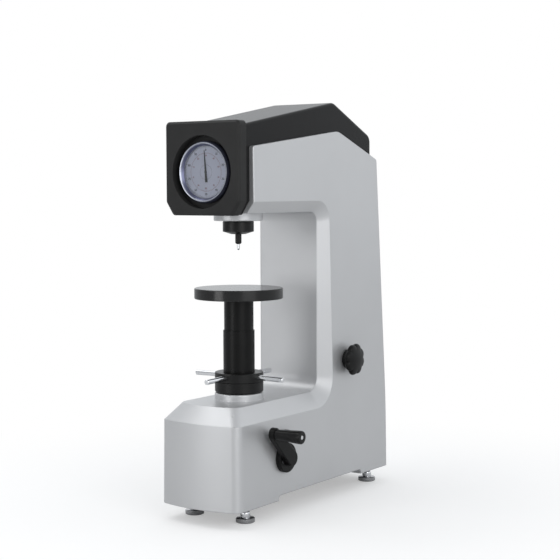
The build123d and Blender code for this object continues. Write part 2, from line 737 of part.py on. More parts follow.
def make_indenter_stem():
    """Shank of the indenter, rounded towards its tip."""
    stem = rod(STEM_R, STEM_END_Z, HOLDER_CONE_Z + 2)
    stem = fillet(stem.edges().group_by(Axis.Z)[0], STEM_END_R)
    return stem - rod(TIP_R + SEAT_FIT, STEM_END_Z - CUT, STEM_END_Z + TIP_DEPTH)


def make_indenter_tip():
    """Hardened tip with a spherical end."""
    tip = rod(TIP_R, TIP_Z + TIP_R, STEM_END_Z + TIP_DEPTH)
    return tip + Pos(0, 0, TIP_Z + TIP_R) * Sphere(TIP_R)


def make_grub_screw():
    """Set screw that clamps the holder to the spindle, at the rear."""
    return Pos(0, 0, GRUB_Z) * Rot(-90, 0, 0) * rod(GRUB_R, SPINDLE_R + 2 * SEAT_FIT, HOLDER_R - BODY_GAP)


# ------------------------------------------------------------------ load lever
def make_fulcrum_bracket():
    """Two ears that stand on the arm's floor and carry the fulcrum shaft."""
    ears = []
    y = (FULCRUM_Y - FULCRUM_EAR_HALF, FULCRUM_Y + FULCRUM_EAR_HALF)
    for side in (-1, 1):
        x = sorted((side * FULCRUM_EAR_X, side * (FULCRUM_EAR_X + FULCRUM_EAR_T)))
        foot_x = sorted((side * (SPINDLE_BUSH_R + 2), side * (THROAT_HALF - CUT)))
        ear = block(x, y, (ARM_UNDER_Z + 3 * WALL, FULCRUM_Z + FULCRUM_EAR_TOP))
        shelf_x = (min(x[0], foot_x[0]), max(x[1], foot_x[1]))
        ear += block(shelf_x, y, (ARM_UNDER_Z + 3 * WALL, ARM_UNDER_Z + 4 * WALL))
        ear += block(foot_x, y, (ARM_UNDER_Z + WALL, ARM_UNDER_Z + 4 * WALL))
        ear -= along_x(rod(FULCRUM_R + SEAT_FIT, -THROAT_HALF, THROAT_HALF), 0, FULCRUM_Y, FULCRUM_Z)
        ears.append(ear)
    return ears


def make_fulcrum_shaft():
    """Hardened shaft on which the lever rocks."""
    half = FULCRUM_EAR_X + FULCRUM_EAR_T
    return along_x(rod(FULCRUM_R, -half, half), 0, FULCRUM_Y, FULCRUM_Z)


def make_load_lever():
    """Tapered beam from the fulcrum to the weights and the damper."""
    front_half, rear_half = LEVER_DEPTH[0] / 2, LEVER_DEPTH[1] / 2
    outline = FilletPolyline(
        (FULCRUM_Y - LEVER_NOSE, FULCRUM_Z - front_half),
        (2 * WALL, FULCRUM_Z - front_half),
        (LEVER_REAR, FULCRUM_Z - rear_half),
        (LEVER_REAR, FULCRUM_Z + rear_half),
        (2 * WALL, FULCRUM_Z + front_half),
        (FULCRUM_Y - LEVER_NOSE, FULCRUM_Z + front_half),
        radius=[4, 0, 6, 6, 0, 4],
        close=True,
    )
    beam = side_slab(outline, -LEVER_HALF, LEVER_HALF)
    beam -= along_x(rod(FULCRUM_R + RUN_FIT, -2 * LEVER_HALF, 2 * LEVER_HALF), 0, FULCRUM_Y, FULCRUM_Z)
    for y in (HANGER_Y, DAMPER_Y):
        beam -= along_x(rod(LEVER_PIN_R + LEVER_PIN_PLAY, -2 * LEVER_HALF, 2 * LEVER_HALF), 0, y, FULCRUM_Z)
    return beam


def hanging_yoke(y, rod_r, low):
    """Yoke with its pin over the lever, and the rod that hangs from it."""
    inner = LEVER_HALF + CUT
    outer = inner + YOKE_T
    drop = FULCRUM_Z - LEVER_DEPTH[0]
    half, over = YOKE_HALF, YOKE_HALF + CUT
    yoke = block((-outer, outer), (y - half, y + half), (drop, FULCRUM_Z + half))
    yoke -= block((-inner, inner), (y - over, y + over), (drop + YOKE_T, FULCRUM_Z + over))
    yoke += along_x(rod(LEVER_PIN_R, -outer, outer), 0, y, FULCRUM_Z)
    return yoke + Pos(0, y, 0) * rod(rod_r, low, drop + CUT)


def make_weight_hanger():
    """Yoke, rod and foot that carry the weights."""
    seat = WEIGHT_LOW_Z - WEIGHT_SEAT_H
    hanger = hanging_yoke(HANGER_Y, HANGER_ROD_R, seat)
    return hanger + Pos(0, HANGER_Y, 0) * rod(3 * HANGER_ROD_R, seat, WEIGHT_LOW_Z)


def make_weight(index):
    """One disc of the weight stack."""
    low = WEIGHT_LOW_Z + index * WEIGHT_H
    weight = pipe(WEIGHT_R, HANGER_ROD_R + 4 * RUN_FIT, low, low + WEIGHT_H)
    rims = [edge for edge in weight.edges().filter_by(GeomType.CIRCLE) if edge.radius > WEIGHT_R - CUT]
    return Pos(0, HANGER_Y, 0) * chamfer(rims, 1.5)


def make_damper_cylinder():
    """Oil cylinder of the damper, bolted through its bracket to the column's side."""
    low, high = DAMPER_Z
    cylinder = pipe(DAMPER_R, DAMPER_R - DAMPER_WALL, low, high)
    cylinder += rod(DAMPER_R, low - DAMPER_CAP_T, low)
    cylinder += pipe(DAMPER_R, DAMPER_ROD_R + 2 * CUT, high, high + DAMPER_CAP_T)
    cylinder = Pos(0, DAMPER_Y, 0) * cylinder
    length, height = DAMPER_ARM
    arm_x = (DAMPER_R - DAMPER_WALL / 2, THROAT_HALF)
    for x in (arm_x, (-arm_x[1], -arm_x[0])):
        cylinder += block(x, (DAMPER_Y - length / 2, DAMPER_Y + length / 2), (low, low + height))
    return cylinder


def make_damper_piston():
    """Piston, rod and yoke of the damper."""
    piston = hanging_yoke(DAMPER_Y, DAMPER_ROD_R, PISTON_Z)
    disc = rod(DAMPER_R - DAMPER_WALL - RUN_FIT, PISTON_Z, PISTON_Z + PISTON_H)
    return piston + Pos(0, DAMPER_Y, 0) * disc


# ------------------------------------------------------------------ force selector
def selector_side():
    """X of the casting's side at the lower edge of the selector's knob."""
    return casting_half(SELECTOR_Z - KNOB_R)


def make_selector_shaft():
    """Shaft across the column with the cams that hold weights back."""
    shaft = rod(SELECTOR_SHAFT_R, -THROAT_HALF + CUT, selector_side() + KNOB_BORE_DEPTH)
    for x in (-WEIGHT_R / 2, WEIGHT_R / 2):
        cam = rod(SELECTOR_CAM_R - SELECTOR_THROW, x - SELECTOR_CAM_T / 2, x + SELECTOR_CAM_T / 2)
        shaft += Pos(0, SELECTOR_THROW, 0) * cam
    return along_x(shaft, 0, SELECTOR_Y, SELECTOR_Z)


def make_selector_knob():
    """Eight-lobed star knob with a domed face, on a narrower hub."""
    disc = Circle(KNOB_DISC_R)
    for index in range(KNOB_LOBES):
        disc += Rot(0, 0, 360 / KNOB_LOBES * index) * Pos(KNOB_R - KNOB_LOBE_R, 0) * Circle(KNOB_LOBE_R)
    disc = fillet(disc.vertices(), KNOB_VALLEY_R)
    star = Pos(0, 0, KNOB_SKIRT_T) * extrude(disc, KNOB_DEPTH - KNOB_SKIRT_T)
    star = fillet(star.edges().group_by(Axis.Z)[0], KNOB_EDGE_R)
    dome_r = (KNOB_R**2 + KNOB_CROWN**2) / (2 * KNOB_CROWN)
    star &= Pos(0, 0, KNOB_DEPTH - dome_r) * Sphere(dome_r)
    star = fillet(star.faces().sort_by(Axis.Z)[-1].edges(), KNOB_EDGE_R)
    knob = star + rod(KNOB_SKIRT_R, 0, KNOB_SKIRT_T + CUT)
    knob -= rod(SELECTOR_SHAFT_R + SEAT_FIT, -CUT, KNOB_BORE_DEPTH)
    return along_x(knob, selector_side() + BODY_GAP, SELECTOR_Y, SELECTOR_Z)


# ------------------------------------------------------------------ load crank
def crank_side():
    """X of the flat seat that is faced on the casting's side for the crank flange."""
    return casting_half(CRANK_Z + FLANGE_R)


def make_crank_flange():
    """Round bearing flange on the base's side."""
    flange = pipe(FLANGE_R, CRANK_SHAFT_R + RUN_FIT, 0, FLANGE_T)
    rims = [edge for edge in flange.edges().filter_by(GeomType.CIRCLE) if edge.radius > FLANGE_R - CUT]
    flange = fillet(ShapeList(rims).group_by(Axis.Z)[-1], 1.5)
    return along_x(flange, crank_side(), CRANK_Y, CRANK_Z)


def make_flange_screws():
    """Countersunk screws of the crank flange."""
    screws = []
    for angle in (30, 150, 270):
        y = (FLANGE_R + CRANK_SHAFT_R) / 2 * cos(radians(angle + 45))
        z = (FLANGE_R + CRANK_SHAFT_R) / 2 * sin(radians(angle + 45))
        screws.append(along_x(rod(2.6, 0, 1.0), crank_side() + FLANGE_T, CRANK_Y + y, CRANK_Z + z))
    return screws


def make_crank_shaft():
    """Crank shaft with its inner web and pin."""
    arm_end = crank_side() + ARM_PLANE + CRANK_ARM_T / 2 - CRANK_ARM_SKIN
    shaft = along_x(rod(CRANK_SHAFT_R, INNER_WEB_X + INNER_WEB_T, arm_end), 0, CRANK_Y, CRANK_Z)
    web = Pos(INNER_THROW / 2, 0) * SlotOverall(INNER_THROW + 2 * CRANK_SHAFT_R + 4, 2 * CRANK_SHAFT_R + 4)
    web = extrude(web, INNER_WEB_T)
    pin = Pos(INNER_THROW, 0, -TRANSFER_T - BODY_GAP) * rod(INNER_PIN_R, 0, TRANSFER_T + BODY_GAP)
    inner = crank_turned(web + pin)
    return shaft + Pos(INNER_WEB_X, 0, 0) * inner


def crank_turned(shape):
    """Turns a piece whose local X is the crank's arm and local Z is the machine's X into its rest place."""
    plane = Plane(
        origin=(0, CRANK_Y, CRANK_Z),
        x_dir=(0, cos(radians(CRANK_REST_DEG)), sin(radians(CRANK_REST_DEG))),
        z_dir=(1, 0, 0),
    )
    return plane.location * shape


def make_crank_arm():
    """Flat crank arm with a round hub and a round eye."""
    hub = Circle(CRANK_HUB_R)
    eye = Pos(CRANK_REACH, 0) * Circle(CRANK_EYE_R)
    outline = make_hull((hub + eye).edges())
    arm = extrude(outline, CRANK_ARM_T)
    arm = fillet(arm.edges().group_by(Axis.Z)[-1], 1.5)
    arm -= rod(CRANK_SHAFT_R + SEAT_FIT, -CUT, CRANK_ARM_T - CRANK_ARM_SKIN)
    arm -= Pos(CRANK_REACH, 0, 0) * rod(GRIP_BOLT_R + SEAT_FIT, -CUT, CRANK_ARM_T + CUT)
    return Pos(crank_side() + ARM_PLANE - CRANK_ARM_T / 2, 0, 0) * crank_turned(arm)


def make_crank_grip():
    """Tapered grip that turns on its bolt."""
    small, large = GRIP_R
    band = GRIP_LENGTH - GRIP_BAND
    grip = turned((0, 0), (small, 0), (large, band), (large, GRIP_LENGTH), (0, GRIP_LENGTH))
    grip = fillet(grip.edges().group_by(Axis.Z)[-1], GRIP_EDGE_R)
    grip -= rod(GRIP_BOLT_R + RUN_FIT, -CUT, GRIP_LENGTH + CUT)
    grip -= rod(GRIP_BOLT_HEAD_R + BODY_GAP, GRIP_LENGTH - GRIP_SINK, GRIP_LENGTH + CUT)
    start = crank_side() + ARM_PLANE + CRANK_ARM_T / 2 + BODY_GAP
    return Pos(start, 0, 0) * crank_turned(Pos(CRANK_REACH, 0, 0) * grip)


def make_grip_bolt():
    """Bolt through the grip into the arm's eye."""
    start = -CRANK_ARM_T - BODY_GAP + CUT
    under_head = GRIP_LENGTH - GRIP_SINK + BODY_GAP
    bolt = rod(GRIP_BOLT_R, start, under_head)
    head = rod(GRIP_BOLT_HEAD_R, under_head, GRIP_LENGTH - CUT / 2)
    head = fillet(head.edges().group_by(Axis.Z)[-1], CUT)
    x = crank_side() + ARM_PLANE + CRANK_ARM_T / 2 + BODY_GAP
    return Pos(x, 0, 0) * crank_turned(Pos(CRANK_REACH, 0, 0) * (bolt + head))


# ------------------------------------------------------------------ inner linkage
def transfer_stroke():
    """How far the crank's pin drives the transfer rod to the rear."""
    start = crank_point(INNER_THROW, CRANK_REST_DEG)[0]
    end = crank_point(INNER_THROW, CRANK_REST_DEG - CRANK_SWING_DEG)[0]
    return end - start


def bar_heights():
    """Lower and upper side of the transfer rod."""
    return CRANK_Z + TRANSFER_BAR[0], CRANK_Z + TRANSFER_BAR[1]


def wedge_height(y):
    """Top of the transfer rod's wedge, which climbs to the rear."""
    return CRANK_Z + WALL + WEDGE_RISE * (y - LIFT_Y)


def make_transfer_rod():
    """Flat rod: an upright yoke round the crank's pin in front and a wedge at the rear."""
    high_x = INNER_WEB_X - BODY_GAP
    x = (high_x - TRANSFER_T, high_x)
    pin_y = crank_point(INNER_THROW, CRANK_REST_DEG)[0]
    slot_half = INNER_PIN_R + YOKE_PLAY
    outer_half = slot_half + YOKE_WALL
    bar_z = bar_heights()
    yoke_z = (bar_z[0], CRANK_Z + INNER_THROW + INNER_PIN_R + 2 * YOKE_WALL)
    yoke = block(x, (pin_y - outer_half, pin_y + outer_half), yoke_z)
    yoke -= block(
        (x[0] - CUT, x[1] + CUT),
        (pin_y - slot_half, pin_y + slot_half),
        (bar_z[1], yoke_z[1] - YOKE_WALL),
    )
    bar = block(x, (pin_y + slot_half + CUT, LIFT_Y + 2 * WALL), bar_z)
    wedge_y = (LIFT_Y - transfer_stroke() - WALL, LIFT_Y + WALL)
    wedge = FilletPolyline(
        (wedge_y[0], bar_z[0]),
        (wedge_y[1], bar_z[0]),
        (wedge_y[1], wedge_height(wedge_y[1])),
        (wedge_y[0], wedge_height(wedge_y[0])),
        radius=0,
        close=True,
    )
    return yoke + bar + side_slab(wedge, *x)


def make_lift_rod():
    """Upright rod that rides on the wedge and holds the lever up until the load is applied."""
    x = INNER_WEB_X - BODY_GAP - TRANSFER_T / 2
    low = wedge_height(LIFT_Y) + LIFT_ROD_R + BODY_GAP
    under = FULCRUM_Z - LEVER_DEPTH[1] / 2 - lever_taper(LIFT_Y) - BODY_GAP
    upright = Pos(x, LIFT_Y, 0) * rod(LIFT_ROD_R, low, under - LIFT_FORK_H / 2)
    shoe = along_x(rod(LIFT_ROD_R, -TRANSFER_T / 2, TRANSFER_T / 2), x, LIFT_Y, low)
    fork_y = (LIFT_Y - LIFT_FORK_HALF, LIFT_Y + LIFT_FORK_HALF)
    return upright + shoe + block((-LEVER_HALF, x + LIFT_ROD_R), fork_y, (under - LIFT_FORK_H, under))


def lever_taper(y):
    """How much lower than at its rear end the lever's underside is at y."""
    run = LEVER_REAR - 2 * WALL
    return (LEVER_DEPTH[0] - LEVER_DEPTH[1]) / 2 * (LEVER_REAR - y) / run


def make_rod_guides():
    """Blocks on the casting's side wall that guide the transfer rod and the lift rod."""
    x_rod = INNER_WEB_X - BODY_GAP - TRANSFER_T / 2
    half, tall = LIFT_GUIDE_HALF, LIFT_GUIDE_H / 2
    guides = []
    for z in (BASE_TOP_Z + WALL, (BASE_TOP_Z + ARM_UNDER_Z) / 2, ARM_UNDER_Z - WALL):
        guide = block((x_rod - half, THROAT_HALF), (LIFT_Y - half, LIFT_Y + half), (z - tall, z + tall))
        bore = Pos(x_rod, LIFT_Y, 0) * rod(LIFT_ROD_R + RUN_FIT, z - tall - CUT, z + tall + CUT)
        guides.append(guide - bore)
    x = (INNER_WEB_X - BODY_GAP - TRANSFER_T, INNER_WEB_X - BODY_GAP)
    z = bar_heights()
    for y in TRANSFER_GUIDE_Y:
        span = (y - GUIDE_WALL, y + GUIDE_WALL)
        guide = block((x[0] - GUIDE_WALL, THROAT_HALF), span, (z[0] - GUIDE_WALL, z[1] + GUIDE_WALL))
        slot = block(
            (x[0] - 2 * RUN_FIT, x[1] + 2 * RUN_FIT),
            (span[0] - CUT, span[1] + CUT),
            (z[0] - 2 * RUN_FIT, z[1] + 2 * RUN_FIT),
        )
        guides.append(guide - slot)
    return guides


def make_valve_knob():
    """Small knob of the damper's oil valve on the base's side."""
    side = casting_half(VALVE_Z - VALVE_KNOB_R)
    knob = rod(VALVE_KNOB_R, BODY_GAP, VALVE_KNOB_T)
    knob = fillet(knob.edges().group_by(Axis.Z)[-1], 2.0)
    stem = rod(VALVE_STEM_R, THROAT_HALF - side - WALL, CUT)
    return along_x(knob + stem, side, VALVE_Y, VALVE_Z)


# ------------------------------------------------------------------ elevating screw and table
def make_screw_bush():
    """Bronze guide bush of the elevating screw in the base's roof."""
    return pipe(BUSH_R, SCREW_R + RUN_FIT, BASE_TOP_Z - 2 * WALL, BASE_BOSS_Z - BEARING_H)


def make_thrust_bearing():
    """Thrust bearing under the capstan nut."""
    return pipe(BEARING_R, SCREW_R + 2 * CUT, BASE_BOSS_Z - BEARING_H, BASE_BOSS_Z)


def make_hub_lower():
    """Capstan nut: lower drum with its threaded core and the well that takes the cover tube."""
    floor = BASE_BOSS_Z + BODY_GAP
    well_r = TUBE_R + 1.0
    return turned(
        (SCREW_R + RUN_FIT, floor),
        (HUB_R - HUB_EDGE_R, floor),
        (HUB_R, floor + HUB_EDGE_R),
        (HUB_R, HUB_SEAM_Z),
        (well_r, HUB_SEAM_Z),
        (well_r, floor + HUB_FLOOR_T),
        (NUT_R, floor + HUB_FLOOR_T),
        (NUT_R, HUB_TOP_Z - CUT),
        (SCREW_R + RUN_FIT, HUB_TOP_Z - CUT),
    )


def rod_directions():
    """Node name and turn of each capstan rod."""
    return [("rod_right", 0), ("rod_rear", 90), ("rod_left", 180), ("rod_front", 270)]


def make_hub_upper():
    """Upper drum of the capstan, bored for the four rods."""
    well_r = TUBE_R + 1.0
    drum = turned(
        (well_r, HUB_SEAM_Z),
        (HUB_R - 0.8, HUB_SEAM_Z),
        (HUB_R, HUB_SEAM_Z + 0.8),
        (HUB_R, HUB_TOP_Z - 1.0),
        (HUB_R - 1.0, HUB_TOP_Z),
        (well_r, HUB_TOP_Z),
    )
    for _, turn in rod_directions():
        bore = along_x(rod(ROD_R + SEAT_FIT, HUB_R - ROD_SEAT, HUB_R + CUT), 0, 0, ROD_Z)
        drum -= Rot(0, 0, turn) * bore
    return drum


def make_capstan_rod(turn):
    """Chromed rod with a rounded end."""
    bar = rod(ROD_R, HUB_R - ROD_SEAT, ROD_REACH)
    bar = fillet(bar.edges().group_by(Axis.Z)[-1], 1.2)
    return Rot(0, 0, turn) * along_x(bar, 0, 0, ROD_Z)


def make_cover_sleeve():
    """Lower tube of the screw's cover, standing on the capstan."""
    return pipe(SLEEVE_R, SLEEVE_R - SLEEVE_WALL, HUB_TOP_Z, SLEEVE_TOP_Z)


def make_cover_tube():
    """Upper tube of the screw's cover, hanging from the table."""
    low = BASE_BOSS_Z + BODY_GAP + HUB_FLOOR_T + TABLE_DROP + CUT
    return pipe(TUBE_R, TUBE_R - TUBE_WALL, low, TABLE_TOP_Z - TABLE_T)


def make_elevating_screw():
    """Elevating screw under the table."""
    screw = rod(SCREW_R, SCREW_LOW_Z, TABLE_TOP_Z - TABLE_T)
    return chamfer(screw.edges().group_by(Axis.Z)[0], 2.0)


def make_test_table():
    """Flat anvil table."""
    table = rod(TABLE_R, TABLE_TOP_Z - TABLE_T, TABLE_TOP_Z)
    return chamfer(table.edges().filter_by(GeomType.CIRCLE), TABLE_EDGE)


# ------------------------------------------------------------------ feet
def make_foot():
    """Levelling foot: knurled pad, domed nut and stud, as separate solids."""
    pad = rod(PAD_R, 0, PAD_H)
    pad = chamfer(pad.edges().filter_by(GeomType.CIRCLE), PAD_EDGE)
    dome = rod(DOME_R, PAD_H, PAD_H + DOME_H)
    dome = fillet(dome.edges().group_by(Axis.Z)[-1], DOME_R - STUD_R - 0.4)
    dome -= rod(STUD_R + SEAT_FIT, PAD_H - CUT, PAD_H + DOME_H + CUT)
    return [pad, dome, rod(STUD_R, PAD_H, STUD_TOP_Z)]


# ------------------------------------------------------------------ assembly
def build_pieces():
    """All pieces in machine axes, by node name."""
    pieces = {
        "casting": make_casting(),
        "top_cover": make_top_cover(),
        "front_panel": make_front_panel(),
        "rear_cover": make_rear_cover(),
        "rear_cover_screws": make_rear_cover_screws(),
        "gauge_case": make_gauge_case(),
        "gauge_ring": make_gauge_ring(),
        "gauge_face": make_gauge_face(),
        "gauge_glass": make_gauge_glass(),
        "gauge_pointer": make_gauge_pointer(),
        "spindle_bush": make_spindle_bush(),
        "spindle": make_spindle(),
        "indenter_holder": make_indenter_holder(),
        "indenter_stem": make_indenter_stem(),
        "indenter_tip": make_indenter_tip(),
        "grub_screw": make_grub_screw(),
        "fulcrum_bracket": make_fulcrum_bracket(),
        "fulcrum_shaft": make_fulcrum_shaft(),
        "load_lever": make_load_lever(),
        "weight_hanger": make_weight_hanger(),
        "damper_cylinder": make_damper_cylinder(),
        "damper_piston": make_damper_piston(),
        "selector_shaft": make_selector_shaft(),
        "selector_knob": make_selector_knob(),
        "crank_flange": make_crank_flange(),
        "flange_screws": make_flange_screws(),
        "crank_shaft": make_crank_shaft(),
        "crank_arm": make_crank_arm(),
        "crank_grip": make_crank_grip(),
        "grip_bolt": make_grip_bolt(),
        "transfer_rod": make_transfer_rod(),
        "lift_rod": make_lift_rod(),
        "rod_guides": make_rod_guides(),
        "valve_knob": make_valve_knob(),
        "screw_bush": make_screw_bush(),
        "thrust_bearing": make_thrust_bearing(),
        "hub_lower": make_hub_lower(),
        "hub_upper": make_hub_upper(),
        "cover_sleeve": make_cover_sleeve(),
        "cover_tube": make_cover_tube(),
        "elevating_screw": make_elevating_screw(),
        "test_table": make_test_table(),
    }
    for index in range(WEIGHT_COUNT):
        pieces[f"weight_{index + 1}"] = make_weight(index)
    for name, turn in rod_directions():
        pieces[name] = make_capstan_rod(turn)
    for name, x, y in foot_places():
        pieces[name] = [Pos(x, y, 0) * solid for solid in make_foot()]
    return pieces


def as_compound(piece):
    """One compound of a node's solids."""
    solids = []
    for shape in piece if isinstance(piece, list) else [piece]:
        solids += shape.solids()
    return Compound(children=solids)


def bottom_centre(pieces):
    """Bottom centre of the bounding box of all pieces."""
    box = Compound(children=[as_compound(piece) for piece in pieces.values()]).bounding_box()
    return Vector((box.min.X + box.max.X) / 2, (box.min.Y + box.max.Y) / 2, box.min.Z)


all_pieces = build_pieces()
origin = bottom_centre(all_pieces)
for node, piece in all_pieces.items():
    export_step(Pos(-origin.X, -origin.Y, -origin.Z) * as_compound(piece), f"parts/{node}.step")
print(f"{len(all_pieces)} nodes, origin in machine axes at {origin.X:.3f}, {origin.Y:.3f}, {origin.Z:.3f}")
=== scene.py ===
"""Looks of a bench hardness tester: finishes, printed dial, feet and screws, and a plain studio."""
import logging
from dataclasses import dataclass, field
from enum import Enum
from math import atan2, cos, hypot, pi, radians, sin

import bmesh
import bpy
from mathutils import Matrix, Vector


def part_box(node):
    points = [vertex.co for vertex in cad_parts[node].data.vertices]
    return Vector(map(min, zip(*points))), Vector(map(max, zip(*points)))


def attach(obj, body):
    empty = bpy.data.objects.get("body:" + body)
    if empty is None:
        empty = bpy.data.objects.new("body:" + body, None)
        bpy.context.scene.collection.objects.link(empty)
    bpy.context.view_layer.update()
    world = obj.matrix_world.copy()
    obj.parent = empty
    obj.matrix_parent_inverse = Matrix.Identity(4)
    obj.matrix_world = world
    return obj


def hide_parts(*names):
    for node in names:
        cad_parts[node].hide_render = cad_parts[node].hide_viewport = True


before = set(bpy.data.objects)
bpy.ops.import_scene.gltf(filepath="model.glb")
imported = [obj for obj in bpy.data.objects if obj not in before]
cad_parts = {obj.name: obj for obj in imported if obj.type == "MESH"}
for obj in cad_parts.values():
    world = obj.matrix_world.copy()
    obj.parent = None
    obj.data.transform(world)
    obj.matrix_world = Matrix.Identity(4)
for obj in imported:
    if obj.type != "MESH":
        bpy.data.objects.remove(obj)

log = logging.getLogger("hardness_tester")

Colour = tuple[float, float, float]
Outline = list[tuple[float, float]]

MM = 0.001
NOISE_SPAN = (0.3, 0.7)  # nearly all values of the fractal noise lie between these
WAVE_PHASE = 20  # turns of phase, in radians, that the wave texture gives to one unit of its scale
BEVEL_SAMPLES = 6  # rays of the softened edges
FACING = 0.95  # cosine of the widest angle at which a face still counts as facing a direction


class Body(Enum):
    """The moving groups that pieces ride on."""

    FRAME = "frame"
    DIAL = "dial"
    CAPSTAN = "capstan"
    SELECTOR = "selector"


class Lay(Enum):
    """Direction of the fine marks that a tool leaves on metal."""

    RINGS_ROUND_Y = "Y"
    RINGS_ROUND_Z = "Z"


# ---------------------------------------------------------------- shaders
class Shader:
    """A material with one Principled shader and the nodes that vary it."""

    def __init__(self, name: str) -> None:
        """Start an empty material.

        Args:
            name: the finish's name.
        """
        self.material = bpy.data.materials.new(name)
        self.material.use_nodes = True
        self.tree = self.material.node_tree
        self.tree.nodes.clear()
        self.output = self.node("ShaderNodeOutputMaterial")
        self.surface = self.node("ShaderNodeBsdfPrincipled")
        self.link(self.surface.outputs["BSDF"], self.output.inputs["Surface"])

    def node(self, kind: str, **settings: object) -> bpy.types.Node:
        """Add a node.

        Args:
            kind: the node's type name.
            **settings: properties to set on it.

        Returns:
            The new node.
        """
        made = self.tree.nodes.new(kind)
        for key, value in settings.items():
            setattr(made, key, value)
        return made

    def link(self, source: bpy.types.NodeSocket, target: bpy.types.NodeSocket) -> None:
        """Join two sockets."""
        self.tree.links.new(source, target)

    def fixed(self, **values: object) -> None:
        """Set values that are the same all over, on the shader's own sockets.

        Args:
            **values: socket names in lower case with underscores, and their values.
        """
        for key, value in values.items():
            self.surface.inputs[key.replace("_", " ").title().replace("Ior", "IOR")].default_value = value

    def place(self, centre: Vector | None = None) -> bpy.types.NodeSocket:
        """Object coordinates, moved so that a point is their origin.

        Args:
            centre: the point, or None for the object's own origin.

        Returns:
            The vector socket.
        """
        spot = self.node("ShaderNodeTexCoord").outputs["Object"]
        if centre is None:
            return spot
        moved = self.node("ShaderNodeMapping")
        moved.inputs["Location"].default_value = -centre
        self.link(spot, moved.inputs["Vector"])
        return moved.outputs["Vector"]

    def noise(self, where: bpy.types.NodeSocket, scale: float, detail: float = 2.0) -> bpy.types.NodeSocket:
        """Fractal noise.

        Args:
            where: the coordinates.
            scale: features per metre.
            detail: number of octaves.

        Returns:
            The value socket.
        """
        made = self.node("ShaderNodeTexNoise")
        made.inputs["Scale"].default_value = scale
        made.inputs["Detail"].default_value = detail
        self.link(where, made.inputs["Vector"])
        return made.outputs["Fac"]

    def rings(self, where: bpy.types.NodeSocket, lay: Lay, pitch: float) -> bpy.types.NodeSocket:
        """Turning marks: rings on the ends, and bands along the sides.

        Args:
            where: the coordinates, centred on the axis.
            lay: the axis that the marks run round.
            pitch: distance between marks, in metres.

        Returns:
            The value socket.
        """
        scale = 2 * pi / (WAVE_PHASE * pitch)
        sockets = []
        for kind, direction in (("RINGS", "rings_direction"), ("BANDS", "bands_direction")):
            wave = self.node("ShaderNodeTexWave", wave_type=kind, **{direction: lay.value})
            wave.inputs["Scale"].default_value = scale
            wave.inputs["Distortion"].default_value = 1.5
            wave.inputs["Detail"].default_value = 1.0
            self.link(where, wave.inputs["Vector"])
            sockets.append(wave.outputs["Fac"])
        both = self.node("ShaderNodeMath", operation="MULTIPLY")
        self.link(sockets[0], both.inputs[0])
        self.link(sockets[1], both.inputs[1])
        return both.outputs["Value"]

    def spread(self, value: bpy.types.NodeSocket, low: float, high: float) -> bpy.types.NodeSocket:
        """Map a noise value onto a range.

        Args:
            value: the noise.
            low: result at the noise's lower end.
            high: result at its upper end.

        Returns:
            The mapped value.
        """
        made = self.node("ShaderNodeMapRange")
        made.inputs["From Min"].default_value, made.inputs["From Max"].default_value = NOISE_SPAN
        made.inputs["To Min"].default_value = low
        made.inputs["To Max"].default_value = high
        self.link(value, made.inputs["Value"])
        return made.outputs["Result"]

    def tint(self, value: bpy.types.NodeSocket, first: Colour, second: Colour) -> None:
        """Vary the base colour between two colours.

        Args:
            value: noise that mixes them.
            first: colour at the noise's lower end.
            second: colour at its upper end.
        """
        mix = self.node("ShaderNodeMix", data_type="RGBA")
        colours = [socket for socket in mix.inputs if socket.type == "RGBA"]
        colours[0].default_value = (*first, 1)
        colours[1].default_value = (*second, 1)
        self.link(value, mix.inputs["Factor"])
        mixed = [socket for socket in mix.outputs if socket.type == "RGBA"]
        self.link(mixed[0], self.surface.inputs["Base Color"])

    def rough(self, value: bpy.types.NodeSocket, low: float, high: float) -> None:
        """Vary the roughness with a noise value."""
        self.link(self.spread(value, low, high), self.surface.inputs["Roughness"])

    def relief(self, heights: list[tuple[bpy.types.NodeSocket, float]], edge: float = 0.0) -> None:
        """Fine relief, over edges that catch the light as if they were rounded.

        Args:
            heights: noise values and their heights in metres.
            edge: radius of the softened edges, in metres.
        """
        normal = None
        if edge > 0:
            soft = self.node("ShaderNodeBevel", samples=BEVEL_SAMPLES)
            soft.inputs["Radius"].default_value = edge
            normal = soft.outputs["Normal"]
        for value, height in heights:
            bump = self.node("ShaderNodeBump")
            bump.inputs["Strength"].default_value = 1.0
            bump.inputs["Distance"].default_value = height
            self.link(value, bump.inputs["Height"])
            if normal is not None:
                self.link(normal, bump.inputs["Normal"])
            normal = bump.outputs["Normal"]
        if normal is not None:
            self.link(normal, self.surface.inputs["Normal"])


def scaled(colour: Colour, factor: float) -> Colour:
    """A colour made lighter or darker."""
    return (colour[0] * factor, colour[1] * factor, colour[2] * factor)


# ---------------------------------------------------------------- finishes
@dataclass(frozen=True)
class Paint:
    """Sprayed paint: faint cloudiness, orange peel, and a clear coat."""

    name: str
    colour: Colour
    metallic: float = 0.0
    roughness: float = 0.4
    coat: float = 0.3
    coat_roughness: float = 0.2
    peel: float = 0.012 * MM
    edge: float = 1.2 * MM
    level: float = 0.5

    def material(self) -> bpy.types.Material:
        """Build the paint."""
        made = Shader(self.name)
        where = made.place()
        cloud = made.noise(where, 9.0, 3.0)
        peel = made.noise(where, 420.0, 2.0)
        fleck = made.noise(where, 5200.0, 1.0)
        made.tint(made.spread(cloud, 0.0, 1.0), scaled(self.colour, 0.985), scaled(self.colour, 1.015))
        made.rough(fleck, self.roughness - 0.05, self.roughness + 0.05)
        made.fixed(metallic=self.metallic, specular_ior_level=self.level)
        made.fixed(coat_weight=self.coat, coat_roughness=self.coat_roughness)
        made.relief([(peel, self.peel), (fleck, self.peel / 6)], self.edge)
        return made.material


